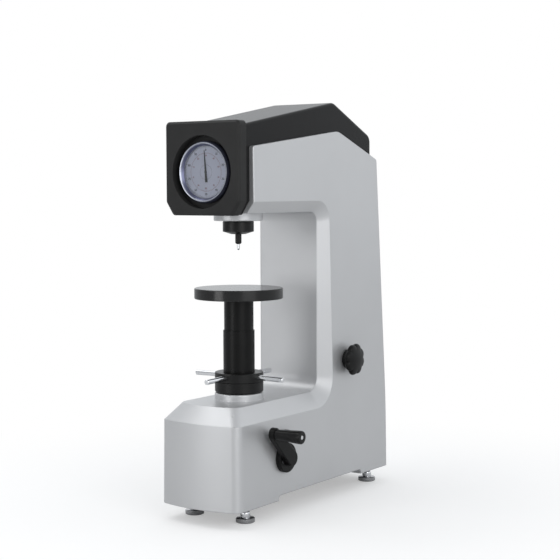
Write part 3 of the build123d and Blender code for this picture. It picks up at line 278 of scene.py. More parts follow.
@dataclass(frozen=True)
class MouldedPlastic:
    """Moulded plastic with a fine spark-eroded grain."""

    name: str
    colour: Colour
    roughness: float = 0.5
    grain: float = 0.03 * MM
    pitch: float = 0.5 * MM
    edge: float = 0.6 * MM
    coat: float = 0.0
    level: float = 0.5

    def material(self) -> bpy.types.Material:
        """Build the plastic."""
        made = Shader(self.name)
        where = made.place()
        grain = made.noise(where, 1 / self.pitch, 3.0)
        cloud = made.noise(where, 25.0, 2.0)
        made.tint(made.spread(cloud, 0.0, 1.0), scaled(self.colour, 0.92), scaled(self.colour, 1.08))
        made.rough(grain, self.roughness - 0.06, self.roughness + 0.06)
        made.fixed(coat_weight=self.coat, coat_roughness=0.25, specular_ior_level=self.level)
        made.relief([(grain, self.grain)], self.edge)
        return made.material


@dataclass(frozen=True)
class TurnedMetal:
    """Metal with the marks of a lathe, blackened or bare."""

    name: str
    colour: Colour
    centre: Vector
    lay: Lay = Lay.RINGS_ROUND_Z
    metallic: float = 1.0
    roughness: float = 0.35
    pitch: float = 0.6 * MM
    depth: float = 0.004 * MM
    edge: float = 0.4 * MM
    level: float = 0.5

    def material(self) -> bpy.types.Material:
        """Build the metal."""
        made = Shader(self.name)
        where = made.place(self.centre)
        marks = made.rings(where, self.lay, self.pitch)
        cloud = made.noise(where, 60.0, 3.0)
        made.tint(made.spread(cloud, 0.0, 1.0), scaled(self.colour, 0.9), scaled(self.colour, 1.1))
        made.rough(cloud, self.roughness - 0.05, self.roughness + 0.05)
        made.fixed(metallic=self.metallic, specular_ior_level=self.level)
        made.relief([(marks, self.depth)], self.edge)
        return made.material


@dataclass(frozen=True)
class Plating:
    """Polished chrome or nickel with faint handling marks."""

    name: str
    colour: Colour
    roughness: float = 0.12
    edge: float = 0.3 * MM

    def material(self) -> bpy.types.Material:
        """Build the plating."""
        made = Shader(self.name)
        where = made.place()
        smear = made.noise(where, 120.0, 4.0)
        scuff = made.noise(where, 2600.0, 2.0)
        made.tint(made.spread(smear, 0.0, 1.0), scaled(self.colour, 0.93), scaled(self.colour, 1.03))
        made.rough(smear, self.roughness - 0.04, self.roughness + 0.06)
        made.fixed(metallic=1.0)
        made.relief([(scuff, 0.0012 * MM)], self.edge)
        return made.material


@dataclass(frozen=True)
class ClearGlass:
    """Flat gauge glass."""

    name: str
    ior: float = 1.47

    def material(self) -> bpy.types.Material:
        """Build the glass."""
        made = Shader(self.name)
        dust = made.noise(made.place(), 90.0, 3.0)
        made.rough(dust, 0.0, 0.025)
        made.surface.inputs["Base Color"].default_value = (0.97, 0.98, 1.0, 1)
        made.fixed(transmission_weight=1.0, ior=self.ior)
        return made.material


@dataclass(frozen=True)
class Ink:
    """Printing ink, slightly uneven."""

    name: str
    colour: Colour

    def material(self) -> bpy.types.Material:
        """Build the ink."""
        made = Shader(self.name)
        cloud = made.noise(made.place(), 800.0, 2.0)
        made.tint(cloud, scaled(self.colour, 0.8), scaled(self.colour, 1.2))
        made.rough(cloud, 0.5, 0.65)
        return made.material


# ---------------------------------------------------------------- mesh making
class Form:
    """A mesh under construction, with the operations that the pieces share."""

    def __init__(self) -> None:
        """Start an empty mesh."""
        self.bm = bmesh.new()

    def turned(self, outline: Outline, steps: int, closed: bool = False) -> "Form":
        """Spin an outline about the Z axis.

        Args:
            outline: (radius, height) points.
            steps: segments round the axis.
            closed: True joins the last point to the first.

        Returns:
            The form itself.
        """
        verts = [self.bm.verts.new((radius, 0, height)) for radius, height in outline]
        pairs = list(zip(verts, verts[1:]))
        if closed:
            pairs.append((verts[-1], verts[0]))
        edges = [self.bm.edges.new(pair) for pair in pairs]
        bmesh.ops.spin(
            self.bm, geom=verts + edges, cent=(0, 0, 0), axis=(0, 0, 1), dvec=(0, 0, 0), angle=2 * pi,
            steps=steps, use_merge=True, use_duplicate=False,
        )
        return self.tidy()

    def tidy(self) -> "Form":
        """Merge doubled vertices and turn the faces outwards."""
        bmesh.ops.remove_doubles(self.bm, verts=self.bm.verts, dist=1e-7)
        bmesh.ops.recalc_face_normals(self.bm, faces=self.bm.faces)
        return self

    def bar(self, x: float, y: float, z: tuple[float, float]) -> list[bmesh.types.BMVert]:
        """Add a box that is centred in X and Y.

        Args:
            x: width.
            y: length.
            z: lowest and highest height.

        Returns:
            Its vertices.
        """
        spot = Matrix.Translation((0, 0, (z[0] + z[1]) / 2)) @ Matrix.Diagonal((x, y, z[1] - z[0], 1))
        return bmesh.ops.create_cube(self.bm, size=1.0, matrix=spot)["verts"]

    def move(self, verts: list[bmesh.types.BMVert], matrix: Matrix) -> None:
        """Transform some of the vertices."""
        bmesh.ops.transform(self.bm, matrix=matrix, verts=verts)

    def take(self, mesh: bpy.types.Mesh, matrix: Matrix) -> None:
        """Add a copy of a mesh.

        Args:
            mesh: the mesh, removed afterwards.
            matrix: where the copy goes.
        """
        mesh.transform(matrix)
        self.bm.from_mesh(mesh)
        bpy.data.meshes.remove(mesh)

    def finished(
        self, name: str, place: Matrix, material: bpy.types.Material, sharp: float = 35.0
    ) -> bpy.types.Object:
        """Turn the form into an object whose place is in its mesh.

        Args:
            name: the piece's name.
            place: from the form's axes to the object's.
            material: its finish.
            sharp: edges sharper than this angle, in degrees, stay crisp.

        Returns:
            The object.
        """
        bmesh.ops.transform(self.bm, matrix=place, verts=self.bm.verts)
        mesh = bpy.data.meshes.new(name)
        self.bm.to_mesh(mesh)
        self.bm.free()
        mesh.shade_smooth()
        mesh.set_sharp_from_angle(angle=radians(sharp))
        mesh.materials.append(material)
        piece = bpy.data.objects.new(name, mesh)
        bpy.context.scene.collection.objects.link(piece)
        return piece


def packed(node: str) -> Form:
    """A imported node's mesh as a form, in place."""
    form = Form()
    form.bm.from_mesh(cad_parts[node].data)
    form.move(form.bm.verts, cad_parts[node].matrix_world)
    return form.tidy()


def centre_of(node: str) -> Vector:
    """Middle of a node's box."""
    low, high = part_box(node)
    return (low + high) / 2


def facing_front(centre: Vector) -> Matrix:
    """Places a form whose Z points at the operator."""
    return Matrix.Translation(centre) @ Matrix.Rotation(pi / 2, 4, "X")


def facing_right(centre: Vector) -> Matrix:
    """Places a form whose Z points to the operator's right."""
    return Matrix.Translation(centre) @ Matrix.Rotation(pi / 2, 4, "Y")


def dress(material: bpy.types.Material, *nodes: str) -> None:
    """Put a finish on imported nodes.

    Args:
        material: the finish.
        *nodes: the nodes' names.
    """
    for name in nodes:
        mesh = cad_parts[name].data
        for index in range(max(1, len(mesh.materials))):
            if index < len(mesh.materials):
                mesh.materials[index] = material
            else:
                mesh.materials.append(material)
    log.info("%s dresses %s", material.name, ", ".join(nodes))


def report(piece: bpy.types.Object, body: str, slot: str, *nodes: str) -> bpy.types.Object:
    """Mount a new piece on its body, and log it.

    Args:
        piece: the piece.
        body: the body that it rides on.
        slot: the record's material slot; not used.
        *nodes: nodes that it stands for.

    Returns:
        The piece.
    """
    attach(piece, body)
    if nodes:
        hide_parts(*nodes)
    log.info("%s: %d faces, rides on %s", piece.name, len(piece.data.polygons), body)
    return piece


# ---------------------------------------------------------------- sub-assemblies
@dataclass
class MachineBody:
    """Casting, covers and the mechanism inside."""

    silver: Paint = Paint(
        "silver_grey_paint", (0.58, 0.585, 0.595), metallic=0.6, roughness=0.42, coat=0.20, edge=2.2 * MM
    )
    cover: Paint = Paint(
        "black_cover_paint", (0.010, 0.010, 0.0105), roughness=0.27, coat=0.0, level=0.12, edge=0.8 * MM
    )
    panel: MouldedPlastic = MouldedPlastic(
        "black_panel_plastic", (0.026, 0.026, 0.026), roughness=0.45, level=0.12, edge=1.0 * MM
    )
    steel: Plating = Plating("machined_steel", (0.52, 0.53, 0.54), roughness=0.34)
    bronze: Plating = Plating("bearing_bronze", (0.55, 0.38, 0.18), roughness=0.36)

    def build(self) -> None:
        """Dress the fixed nodes and the inner mechanism."""
        dress(self.silver.material(), "casting", "rear_cover")
        dress(self.cover.material(), "top_cover", "gauge_case", "damper_cylinder")
        dress(self.panel.material(), "front_panel")
        dress(self.bronze.material(), "spindle_bush", "screw_bush")
        inner = [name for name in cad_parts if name.startswith("weight_")]
        inner += ["spindle", "fulcrum_bracket", "fulcrum_shaft", "load_lever", "damper_piston"]
        inner += ["selector_shaft", "crank_shaft", "transfer_rod", "lift_rod", "rod_guides"]
        inner += ["thrust_bearing", "elevating_screw"]
        dress(self.steel.material(), *inner)


@dataclass
class SocketScrew:
    """Round-headed screw with a hexagon socket."""

    radius: float
    height: float
    socket: float = 0.45

    def head(self) -> Form:
        """Model the head on its seat at height 0, with the socket on top.

        Returns:
            The form.
        """
        form = Form()
        edge = 0.3 * self.height
        rings = []
        for radius, segments in ((self.radius - edge, 24), (self.radius * self.socket, 6)):
            made = bmesh.ops.create_circle(form.bm, cap_ends=False, radius=radius, segments=segments)
            form.move(made["verts"], Matrix.Translation((0, 0, self.height)))
            rings.append(made["verts"])
        rim_edges, hex_edges = (
            [side for side in form.bm.edges if side.verts[0] in ring and side.verts[1] in ring]
            for ring in rings
        )
        bmesh.ops.bridge_loops(form.bm, edges=rim_edges + hex_edges)
        for edges, steps in ((hex_edges, [(1.0, -0.6 * self.height)]), (rim_edges, self._shoulder(edge))):
            loop = edges
            for scale, drop in steps:
                made = bmesh.ops.extrude_edge_only(form.bm, edges=loop)["geom"]
                verts = [item for item in made if isinstance(item, bmesh.types.BMVert)]
                form.move(verts, Matrix.Translation((0, 0, drop)) @ Matrix.Diagonal((scale, scale, 1, 1)))
                loop = [item for item in made if isinstance(item, bmesh.types.BMEdge)]
                loop = [item for item in loop if all(vert in verts for vert in item.verts)]
            bmesh.ops.edgeloop_fill(form.bm, edges=loop)
        return form.tidy()

    def _shoulder(self, edge: float) -> list[tuple[float, float]]:
        """Growth and fall of each step from the top's rim to the seat."""
        inner = self.radius - edge
        middle = self.radius - 0.3 * edge
        return [(middle / inner, -0.3 * edge), (self.radius / middle, -0.7 * edge), (1.0, edge - self.height)]


@dataclass
class ScrewSet:
    """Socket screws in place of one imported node's plain ones."""

    node: str
    body: str
    slot: str
    axis: Vector
    screw: SocketScrew
    finish: Plating
    cap_depth: float = 0.3 * MM  # how far behind a head's front a face may lie and still be part of it

    def build(self) -> None:
        """Model a head where each packed screw has its own."""
        form = Form()
        for place in self.places():
            mesh = bpy.data.meshes.new("head")
            head = self.screw.head()
            head.bm.to_mesh(mesh)
            head.bm.free()
            form.take(mesh, place @ Matrix.Translation((0, 0, -self.screw.height)))
        piece = form.finished(self.node + "_heads", Matrix.Identity(4), self.finish.material(), 30)
        report(piece, self.body, self.slot, self.node)

    def places(self) -> list[Matrix]:
        """Middle and direction of each packed head's outer face.

        Returns:
            One matrix per screw, with Z outwards.
        """
        form = packed(self.node)
        waiting, places = set(form.bm.faces), []
        while waiting:
            group = [waiting.pop()]
            for face in group:
                near = {other for edge in face.edges for other in edge.link_faces} & waiting
                waiting -= near
                group.extend(near)
            caps = [face for face in group if face.normal.dot(self.axis) > FACING]
            reach = max(face.calc_center_median().dot(self.axis) for face in caps) - self.cap_depth
            caps = [face for face in caps if face.calc_center_median().dot(self.axis) > reach]
            area = sum(face.calc_area() for face in caps)
            middle = sum((face.calc_center_median() * face.calc_area() for face in caps), Vector()) / area
            turn = caps[0].normal.to_track_quat("Z", "Y").to_matrix().to_4x4()
            places.append(Matrix.Translation(middle) @ turn)
        form.bm.free()
        return places


@dataclass
class DialGauge:
    """Dial gauge: ring, printed plate, pointer and glass."""

    plate_depth: float = 2.2 * MM  # printed plate behind the front of its rim
    print_height: float = 0.05 * MM
    outer_circle: float = 42.6 * MM
    outer_tick: tuple[float, float, float] = (2.6 * MM, 3.2 * MM, 4.0 * MM)
    outer_digits: float = 36.0 * MM
    outer_digit_size: float = 5.2 * MM
    inner_circle: float = 31.2 * MM
    inner_tick: tuple[float, float, float] = (1.0 * MM, 1.4 * MM, 1.9 * MM)
    inner_digits: float = 26.8 * MM
    inner_digit_size: float = 3.8 * MM
    middle_circle: float = 12.0 * MM
    divisions: int = 100
    line: float = 0.26 * MM
    # outside, front edge and sight
    ring_radii: tuple[float, float, float] = (50.6 * MM, 48.4 * MM, 43.0 * MM)
    lip_width: float = 2.6 * MM
    ring_steps: int = 144
    glass_seat: float = 5.9 * MM  # glass's front behind the ring's front
    shoulder: float = 5.0 * MM
    serrations: int = 144
    serration_depth: float = 0.986  # radius in the grooves, as a share
    plate: Paint = Paint(
        "dial_plate", (0.50, 0.52, 0.61), roughness=0.35, coat=0.0, peel=0.001 * MM, edge=0.0
    )
    pointer: Paint = Paint("pointer_enamel", (0.012, 0.012, 0.014), roughness=0.35, coat=0.3, edge=0.0)
    black_ink: Ink = Ink("dial_ink_black", (0.035, 0.037, 0.05))
    red_ink: Ink = Ink("dial_ink_red", (0.20, 0.05, 0.06))
    glass: ClearGlass = ClearGlass("gauge_glass")

    def build(self) -> None:
        """Dress the gauge and print its dial."""
        low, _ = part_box("gauge_face")
        centre = centre_of("gauge_face")
        spot = Vector((centre.x, low.y + self.plate_depth, centre.z))
        dark = TurnedMetal(
            "bezel_black", (0.045, 0.048, 0.072), spot, Lay.RINGS_ROUND_Y, roughness=0.30, pitch=0.8 * MM,
            metallic=0.0, level=0.4
        )
        bright = Plating("bezel_lip_chrome", (0.40, 0.42, 0.48), roughness=0.30)
        # the inner wall's plating is darker and bluer than the lip's: painted shade in the recess between lip
        # and glass
        shaded_wall = Plating("bezel_wall_painted_shade", (0.17, 0.18, 0.27), roughness=0.34)
        front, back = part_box("gauge_ring")
        place = facing_front(Vector((centre.x, back.y, centre.z)))
        depth = back.y - front.y
        for name, form, finish, nodes in (
            ("gauge_bezel", self.bezel(depth), dark, ["gauge_ring"]),
            ("gauge_lip", self.lip(depth), bright, []),
            ("gauge_wall", self.wall(depth), shaded_wall, []),
        ):
            piece = form.finished(name, place, finish.material(), 25)
            report(piece, Body.DIAL.value, "ring_metal", *nodes)
        dress(self.plate.material(), "gauge_face")
        dress(self.pointer.material(), "gauge_pointer")
        dress(self.glass.material(), "gauge_glass")
        place = facing_front(spot)
        black, red = self.black_ink.material(), self.red_ink.material()
        outer = self.scale(self.outer_circle, self.outer_tick).finished("dial_outer_scale", place, black)
        inner = self.scale(self.inner_circle, self.inner_tick).finished("dial_inner_scale", place, red)
        figures = self.figures(self.outer_digits, self.outer_digit_size, 0)
        outer_figures = figures.finished("dial_outer_figures", place, black)
        figures = self.figures(self.inner_digits, self.inner_digit_size, 30)
        inner_figures = figures.finished("dial_inner_figures", place, red)
        middle = self.circle(Form(), self.middle_circle).tidy().finished("dial_middle_circle", place, black)
        for piece in (outer, inner, outer_figures, inner_figures, middle):
            report(piece, Body.DIAL.value, "dial_plate")

    def bezel(self, depth: float) -> Form:
        """The bezel's grip: a sloping shoulder with fine serrations.

        Args:
            depth: from its back to its front.

        Returns:
            The form.
        """
        outside, edge, _ = self.ring_radii
        low = depth - self.shoulder
        inner = edge - 1.2 * MM
        set_back = 0.6 * MM
        outline = [(inner, 0), (outside - 0.5 * MM, 0), (outside, 0.5 * MM), (outside, low)]
        for step in range(1, 6):
            share = step / 6
            radius = outside - (outside - edge) * share ** 1.25
            outline.append((radius, low + (self.shoulder - set_back) * share))
        outline += [(edge, depth - set_back), (inner, depth - set_back)]
        form = Form().turned(outline, 2 * self.serrations, closed=True)
        grooves = [
            vert
            for vert in form.bm.verts
            if vert.co.xy.length > edge + 0.2 * MM
            and round(atan2(vert.co.y, vert.co.x) / pi * self.serrations) % 2
        ]
        bmesh.ops.scale(form.bm, vec=(self.serration_depth, self.serration_depth, 1), verts=grooves)
        return form

    def lip(self, depth: float) -> Form:
        """The bright rounded front edge.

        Args:
            depth: from the bezel's back to its front.

        Returns:
            The form.
        """
        _, edge, sight = self.ring_radii
        inner = sight + self.lip_width
        outline = [(edge, depth - 0.9 * MM), (edge - 0.1 * MM, depth - 0.3 * MM), (edge - 0.6 * MM, depth)]
        outline += [(inner + 0.9 * MM, depth - 0.3 * MM), (inner, depth - 1.8 * MM)]
        outline.append((edge - 1 * MM, depth - 1.8 * MM))
        return Form().turned(outline, self.ring_steps, closed=True)

    def wall(self, depth: float) -> Form:
        """The inner wall from the lip down to the glass; its plating is darker and bluer than the lip's, as
        painted shade of the recess.

        Args:
            depth: from the bezel's back to its front.

        Returns:
            The form.
        """
        _, edge, sight = self.ring_radii
        seat = depth - self.glass_seat
        outline = [(sight + self.lip_width, depth - 1.7 * MM), (sight + 0.2 * MM, seat + 0.4 * MM)]
        outline += [(sight, seat + 0.02 * MM), (sight + 1.2 * MM, seat + 0.02 * MM)]
        outline.append((edge - 1 * MM, depth - 1.7 * MM))
        return Form().turned(outline, self.ring_steps, closed=True)

    def circle(self, form: Form, radius: float) -> Form:
        """Add a printed circle.

        Args:
            form: the form to add it to.
            radius: its middle radius.

        Returns:
            The form.
        """
        half, top = self.line / 2, self.print_height
        outline = [(radius - half, 0), (radius - half, top), (radius + half, top), (radius + half, 0)]
        return form.turned(outline, 128, closed=True)

    def scale(self, radius: float, lengths: tuple[float, float, float]) -> Form:
        """A circle with its divisions inside it, longer at every fifth and tenth.

        Args:
            radius: the circle's radius.
            lengths: of a plain, a fifth and a tenth division.

        Returns:
            The form.
        """
        form = self.circle(Form(), radius)
        for index in range(self.divisions):
            length = lengths[2] if index % 10 == 0 else lengths[1] if index % 5 == 0 else lengths[0]
            width = self.line * (1.7 if index % 10 == 0 else 1.0)
            verts = form.bar(width, length, (0, self.print_height))
            angle = -2 * pi * index / self.divisions
            form.move(verts, Matrix.Rotation(angle, 4, "Z") @ Matrix.Translation((0, radius - length / 2, 0)))
        return form

    def figures(self, radius: float, size: float, start: int) -> Form:
        """Figures at every tenth division, upright as seen from the front.

        Args:
            radius: of the figures' middles.
            size: height of the type.
            start: the figure at the top.

        Returns:
            The form.
        """
        form = Form()
        for index in range(10):
            figure = (start + 10 * index) % 100
            angle = 2 * pi * index / 10
            spot = Matrix.Translation((radius * sin(angle), radius * cos(angle), 0))
            form.take(self.type_mesh(str(figure), size), spot)
        return form

    def type_mesh(self, text: str, size: float) -> bpy.types.Mesh:
        """Mesh of a few characters, centred.

        Args:
            text: the characters.
            size: height of the type.

        Returns:
            The mesh.
        """
        curve = bpy.data.curves.new("figure", "FONT")
        curve.body = text
        curve.size = size
        curve.align_x = "CENTER"
        curve.align_y = "CENTER"
        curve.extrude = self.print_height / 2
        curve.offset = 0.02 * size
        curve.resolution_u = 3
        carrier = bpy.data.objects.new("figure", curve)
        bpy.context.scene.collection.objects.link(carrier)
        bpy.context.view_layer.update()
        graph = bpy.context.evaluated_depsgraph_get()
        mesh = bpy.data.meshes.new_from_object(carrier.evaluated_get(graph))
        bpy.data.objects.remove(carrier)
        bpy.data.curves.remove(curve)
        mesh.transform(Matrix.Translation((0, 0, self.print_height / 2)))
        return mesh


@dataclass
class Spindle:
    """Indenter holder, stem and tip."""

    def build(self) -> None:
        """Dress the holder, the stem and the tip."""
        spot = centre_of("indenter_stem")
        holder = TurnedMetal(
            "blackened_holder", (0.006, 0.006, 0.006), spot,
            metallic=0.0, roughness=0.34, pitch=0.7 * MM, level=0.25,
        )
        dress(holder.material(), "indenter_holder", "grub_screw", "indenter_stem")
        dress(Plating("ground_tip", (0.74, 0.75, 0.77), roughness=0.12).material(), "indenter_tip")


@dataclass
class Elevation:
    """Table, cover tubes and capstan."""

    rod_radius: float = 4.4 * MM

    def build(self) -> None:
        """Dress the parts round the elevating screw."""
        spot = centre_of("test_table")
        table = Paint(
            "blackened_table", (0.007, 0.007, 0.007),
            roughness=0.20, coat=0.0, peel=0.0003 * MM, edge=0.6 * MM, level=0.45,
        )
        tube = TurnedMetal(
            "blackened_tubes", (0.004, 0.004, 0.004), spot,
            metallic=0.0, roughness=0.32, pitch=0.6 * MM, level=0.18,
        )
        hub = TurnedMetal(
            "blackened_capstan", (0.005, 0.005, 0.005), spot,
            metallic=0.0, roughness=0.34, pitch=0.8 * MM, level=0.28,
        )
        dress(table.material(), "test_table")
        dress(tube.material(), "cover_tube", "cover_sleeve")
        dress(hub.material(), "hub_lower", "hub_upper")
        chrome = Plating("rod_chrome", (0.86, 0.87, 0.89), roughness=0.09).material()
        for node in ("rod_front", "rod_rear", "rod_left", "rod_right"):
            rod = self.rod(node).finished(node + "_bar", Matrix.Identity(4), chrome, 30)
            report(rod, Body.CAPSTAN.value, "chrome", node)

    def rod(self, node: str) -> Form:
        """A capstan rod with chamfered ends, along its packed one.

        Args:
            node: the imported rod.

        Returns:
            The form, in place.
        """
        form = packed(node)
        middle = sum((vert.co for vert in form.bm.verts), Vector()) / len(form.bm.verts)
        far = max(form.bm.verts, key=lambda vert: (vert.co - middle).length).co
        low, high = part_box(node)
        size = high - low
        along = Vector((0, size.y, 0)) if size.y > size.x else Vector((size.x, 0, 0))
        slope = Vector((0, 0, size.z - 2 * self.rod_radius))
        rising = (far - middle).dot(along) * (far - middle).z
        form.bm.free()
        half = (along + (slope if rising > 0 else -slope)) / 2
        reach, edge = half.length, 0.7 * MM
        radius = self.rod_radius
        outline = [(0, -reach), (radius - edge, -reach), (radius, edge - reach), (radius, reach - edge)]
        outline += [(radius - edge, reach), (0, reach)]
        bar = Form().turned(outline, 48)
        turn = half.to_track_quat("Z", "Y").to_matrix().to_4x4()
        bar.move(bar.bm.verts, Matrix.Translation((low + high) / 2) @ turn)
        return bar


@dataclass
class Controls:
    """Load crank, force selector and the damper's valve knob."""

    skirt_radius: float = 17.0 * MM
    skirt_height: float = 10.5 * MM
    disc_radius: float = 27.9 * MM
    bead: tuple[float, float] = (4.6 * MM, 5.2 * MM)  # half width and half height of the disc's round rim
    dome: tuple[float, float] = (4.4 * MM, 10.2 * MM)  # the dome's start, in from the rim and over the skirt
    lobes: int = 8
    first_lobe: float = 27.0  # degrees from straight down, towards the rear
    lobe_reach: tuple[float, float] = (0.6, 0.3)  # shares of the radius: where lobes start, and their blend
    lobe_rise: float = 0.14  # of a lobe over a valley
    valley: float = 0.12  # how far the valleys are drawn in
    lobe_bluntness: float = 0.7

    def build(self) -> None:
        """Dress the controls on the machine's right side."""
        black = Paint(
            "crank_black_paint", (0.006, 0.006, 0.006), roughness=0.34, coat=0.0, level=0.16, edge=0.8 * MM
        )
        knob = MouldedPlastic(
            "knob_phenolic", (0.006, 0.006, 0.006), roughness=0.36, grain=0.01 * MM, level=0.2
        )
        grip = MouldedPlastic(
            "grip_phenolic", (0.005, 0.005, 0.005), roughness=0.24, grain=0.004 * MM, level=0.25
        )
        dress(black.material(), "crank_flange", "crank_arm")
        dress(knob.material(), "valve_knob")
        low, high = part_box("selector_knob")
        seat = facing_right(Vector((low.x, (low.y + high.y) / 2, (low.z + high.z) / 2)))
        lobed = self.lobed_knob(high.x - low.x).finished("selector_knob_lobed", seat, knob.material(), 40)
        report(lobed, Body.SELECTOR.value, "black_plastic", "selector_knob")
        dress(grip.material(), "crank_grip")
        dress(Plating("bolt_chrome", (0.78, 0.79, 0.81), roughness=0.14).material(), "grip_bolt")

    def lobed_knob(self, depth: float) -> Form:
        """The force knob: a round skirt under a domed disc with eight lobes.

        Args:
            depth: from its seat to its top.

        Returns:
            The form.
        """
        skirt, disc, low = self.skirt_radius, self.disc_radius, self.skirt_height
        outline = [(0, 0), (skirt - 0.4 * MM, 0), (skirt, 0.4 * MM), (skirt, low - 1.5 * MM)]
        outline += [(skirt + 0.6 * MM, low - 0.4 * MM), (skirt + 2 * MM, low)]
        wide, tall = self.bead
        for turn in range(-75, 76, 15):
            bulge = wide * cos(radians(turn))
            outline.append((disc - wide + bulge, low + tall * (1 + sin(radians(turn)))))
        inset, rise = self.dome
        crown = low + rise
        for step in range(1, 8):
            share = 1 - step / 8
            outline.append(((disc - inset) * share, crown + (depth - crown) * (1 - share * share)))
        outline.append((0, depth))
        form = Form().turned(outline, 160)
        start, blend = self.lobe_reach
        for vert in form.bm.verts:
            radius = vert.co.xy.length
            if radius > start * disc and vert.co.z > low - 0.1 * MM:
                weight = min(1.0, (radius / disc - start) / blend)
                angle = atan2(vert.co.y, vert.co.x) - radians(self.first_lobe)
                lobe = abs(cos(self.lobes / 2 * angle)) ** self.lobe_bluntness
                growth = 1 + weight * (self.lobe_rise * lobe - self.valley)
                bmesh.ops.scale(form.bm, vec=(growth, growth, 1), verts=[vert])
        return form


@dataclass
class LevellingFoot:
    """Knurled pad, domed nut and threaded stud of one foot."""

    node: str
    pad_radius: float = 15.8 * MM
    pad_height: float = 9.0 * MM
    knurls: int = 56
    dome_radius: float = 8.2 * MM
    dome_height: float = 14.5 * MM
    stud_radius: float = 5.0 * MM
    stud_top: float = 58.0 * MM
    thread_pitch: float = 1.5 * MM

    def build(self, plating: bpy.types.Material, chrome: bpy.types.Material) -> None:
        """Model the foot in place of its plain node.

        Args:
            plating: finish of the pad.
            chrome: finish of the nut and the stud.
        """
        low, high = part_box(self.node)
        place = Matrix.Translation(((low.x + high.x) / 2, (low.y + high.y) / 2, 0))
        body = self.node + "_unit"
        pad = self.pad().finished(self.node + "_pad", place, plating, 30)
        nut = self.nut().finished(self.node + "_nut", place, chrome, 30)
        stud = self.stud().finished(self.node + "_stud", place, chrome, 40)
        for piece in (pad, nut, stud):
            report(piece, body, "foot_steel", self.node)

    def pad(self) -> Form:
        """The pad, with straight knurls round its side and a dished top.

        Returns:
            The form.
        """
        radius, top, edge = self.pad_radius, self.pad_height, 1.0 * MM
        outline = [
            (0, 0), (radius - 2 * edge, 0), (radius - 0.35 * edge, 0.9 * edge),
            (radius - 0.35 * edge, top - 1.4 * edge), (radius - 0.9 * edge, top - 0.9 * edge),
            (radius - 2.2 * edge, top - 0.55 * edge), (self.dome_radius + 2.6 * edge, top - 0.3 * edge),
            (self.dome_radius + 1.2 * edge, top), (0, top),
        ]
        form = Form().turned(outline, self.knurls)
        side = [
            face for face in form.bm.faces
            if abs(face.normal.z) < 0.1 and hypot(*face.calc_center_median().xy) > radius - edge
        ]
        bmesh.ops.inset_individual(form.bm, faces=side, thickness=0.28 * MM, depth=0.35 * edge)
        return form

    def nut(self) -> Form:
        """The domed nut with its collar.

        Returns:
            The form.
        """
        base, radius, top = self.pad_height, self.dome_radius, self.pad_height + self.dome_height
        rise = self.dome_height
        neck = self.stud_radius + 0.3 * MM
        outline = [(neck - 1 * MM, base), (radius - 0.4 * MM, base)]
        outline += [(radius, base + 0.5 * MM), (radius, base + 0.36 * rise)]
        for step in range(1, 9):
            turn = step / 8 * pi / 2
            height = base + 0.36 * rise + 0.34 * rise * sin(turn)
            outline.append((neck + (radius - neck) * cos(turn), height))
        outline += [(neck, top - 0.6 * MM), (neck - 0.4 * MM, top), (neck - 1 * MM, top)]
        return Form().turned(outline, 48, closed=True)

    def stud(self) -> Form:
        """The stud, with its thread.

        Returns:
            The form.
        """
        low, high, radius = self.pad_height + 1 * MM, self.stud_top, self.stud_radius
        root = radius - 0.6 * self.thread_pitch
        outline = [(0, low), (root, low)]
        count = int((high - low) / self.thread_pitch)
        for index in range(count):
            z = low + index * self.thread_pitch
            outline += [(root, z + 0.1 * self.thread_pitch), (radius, z + 0.45 * self.thread_pitch)]
            outline += [(radius, z + 0.6 * self.thread_pitch), (root, z + 0.95 * self.thread_pitch)]
        outline += [(root, high), (0, high)]
        return Form().turned(outline, 24)


@dataclass(frozen=True)
class Softbox:
    """One rectangular lamp."""

    name: str
    azimuth: float  # degrees from the front, towards the operator's right
    height: float
    distance: float
    size: tuple[float, float]
    glow: float  # radiance of its face
    colour: Colour = (1.0, 1.0, 1.0)
    aim: float = 0.35  # height of the point that it faces

    def build(self) -> None:
        """Add the lamp."""
        turn = radians(self.azimuth)
        spot = Vector((self.distance * sin(turn), -self.distance * cos(turn), self.height))
        data = bpy.data.lights.new(self.name, "AREA")
        data.shape = "RECTANGLE"
        data.size, data.size_y = self.size
        data.energy = self.glow * pi * self.size[0] * self.size[1]
        data.color = self.colour
        lamp = bpy.data.objects.new(self.name, data)
        ahead = Vector((0, 0, self.aim)) - spot
        lamp.matrix_world = Matrix.Translation(spot) @ ahead.to_track_quat("-Z", "Y").to_matrix().to_4x4()
        bpy.context.scene.collection.objects.link(lamp)


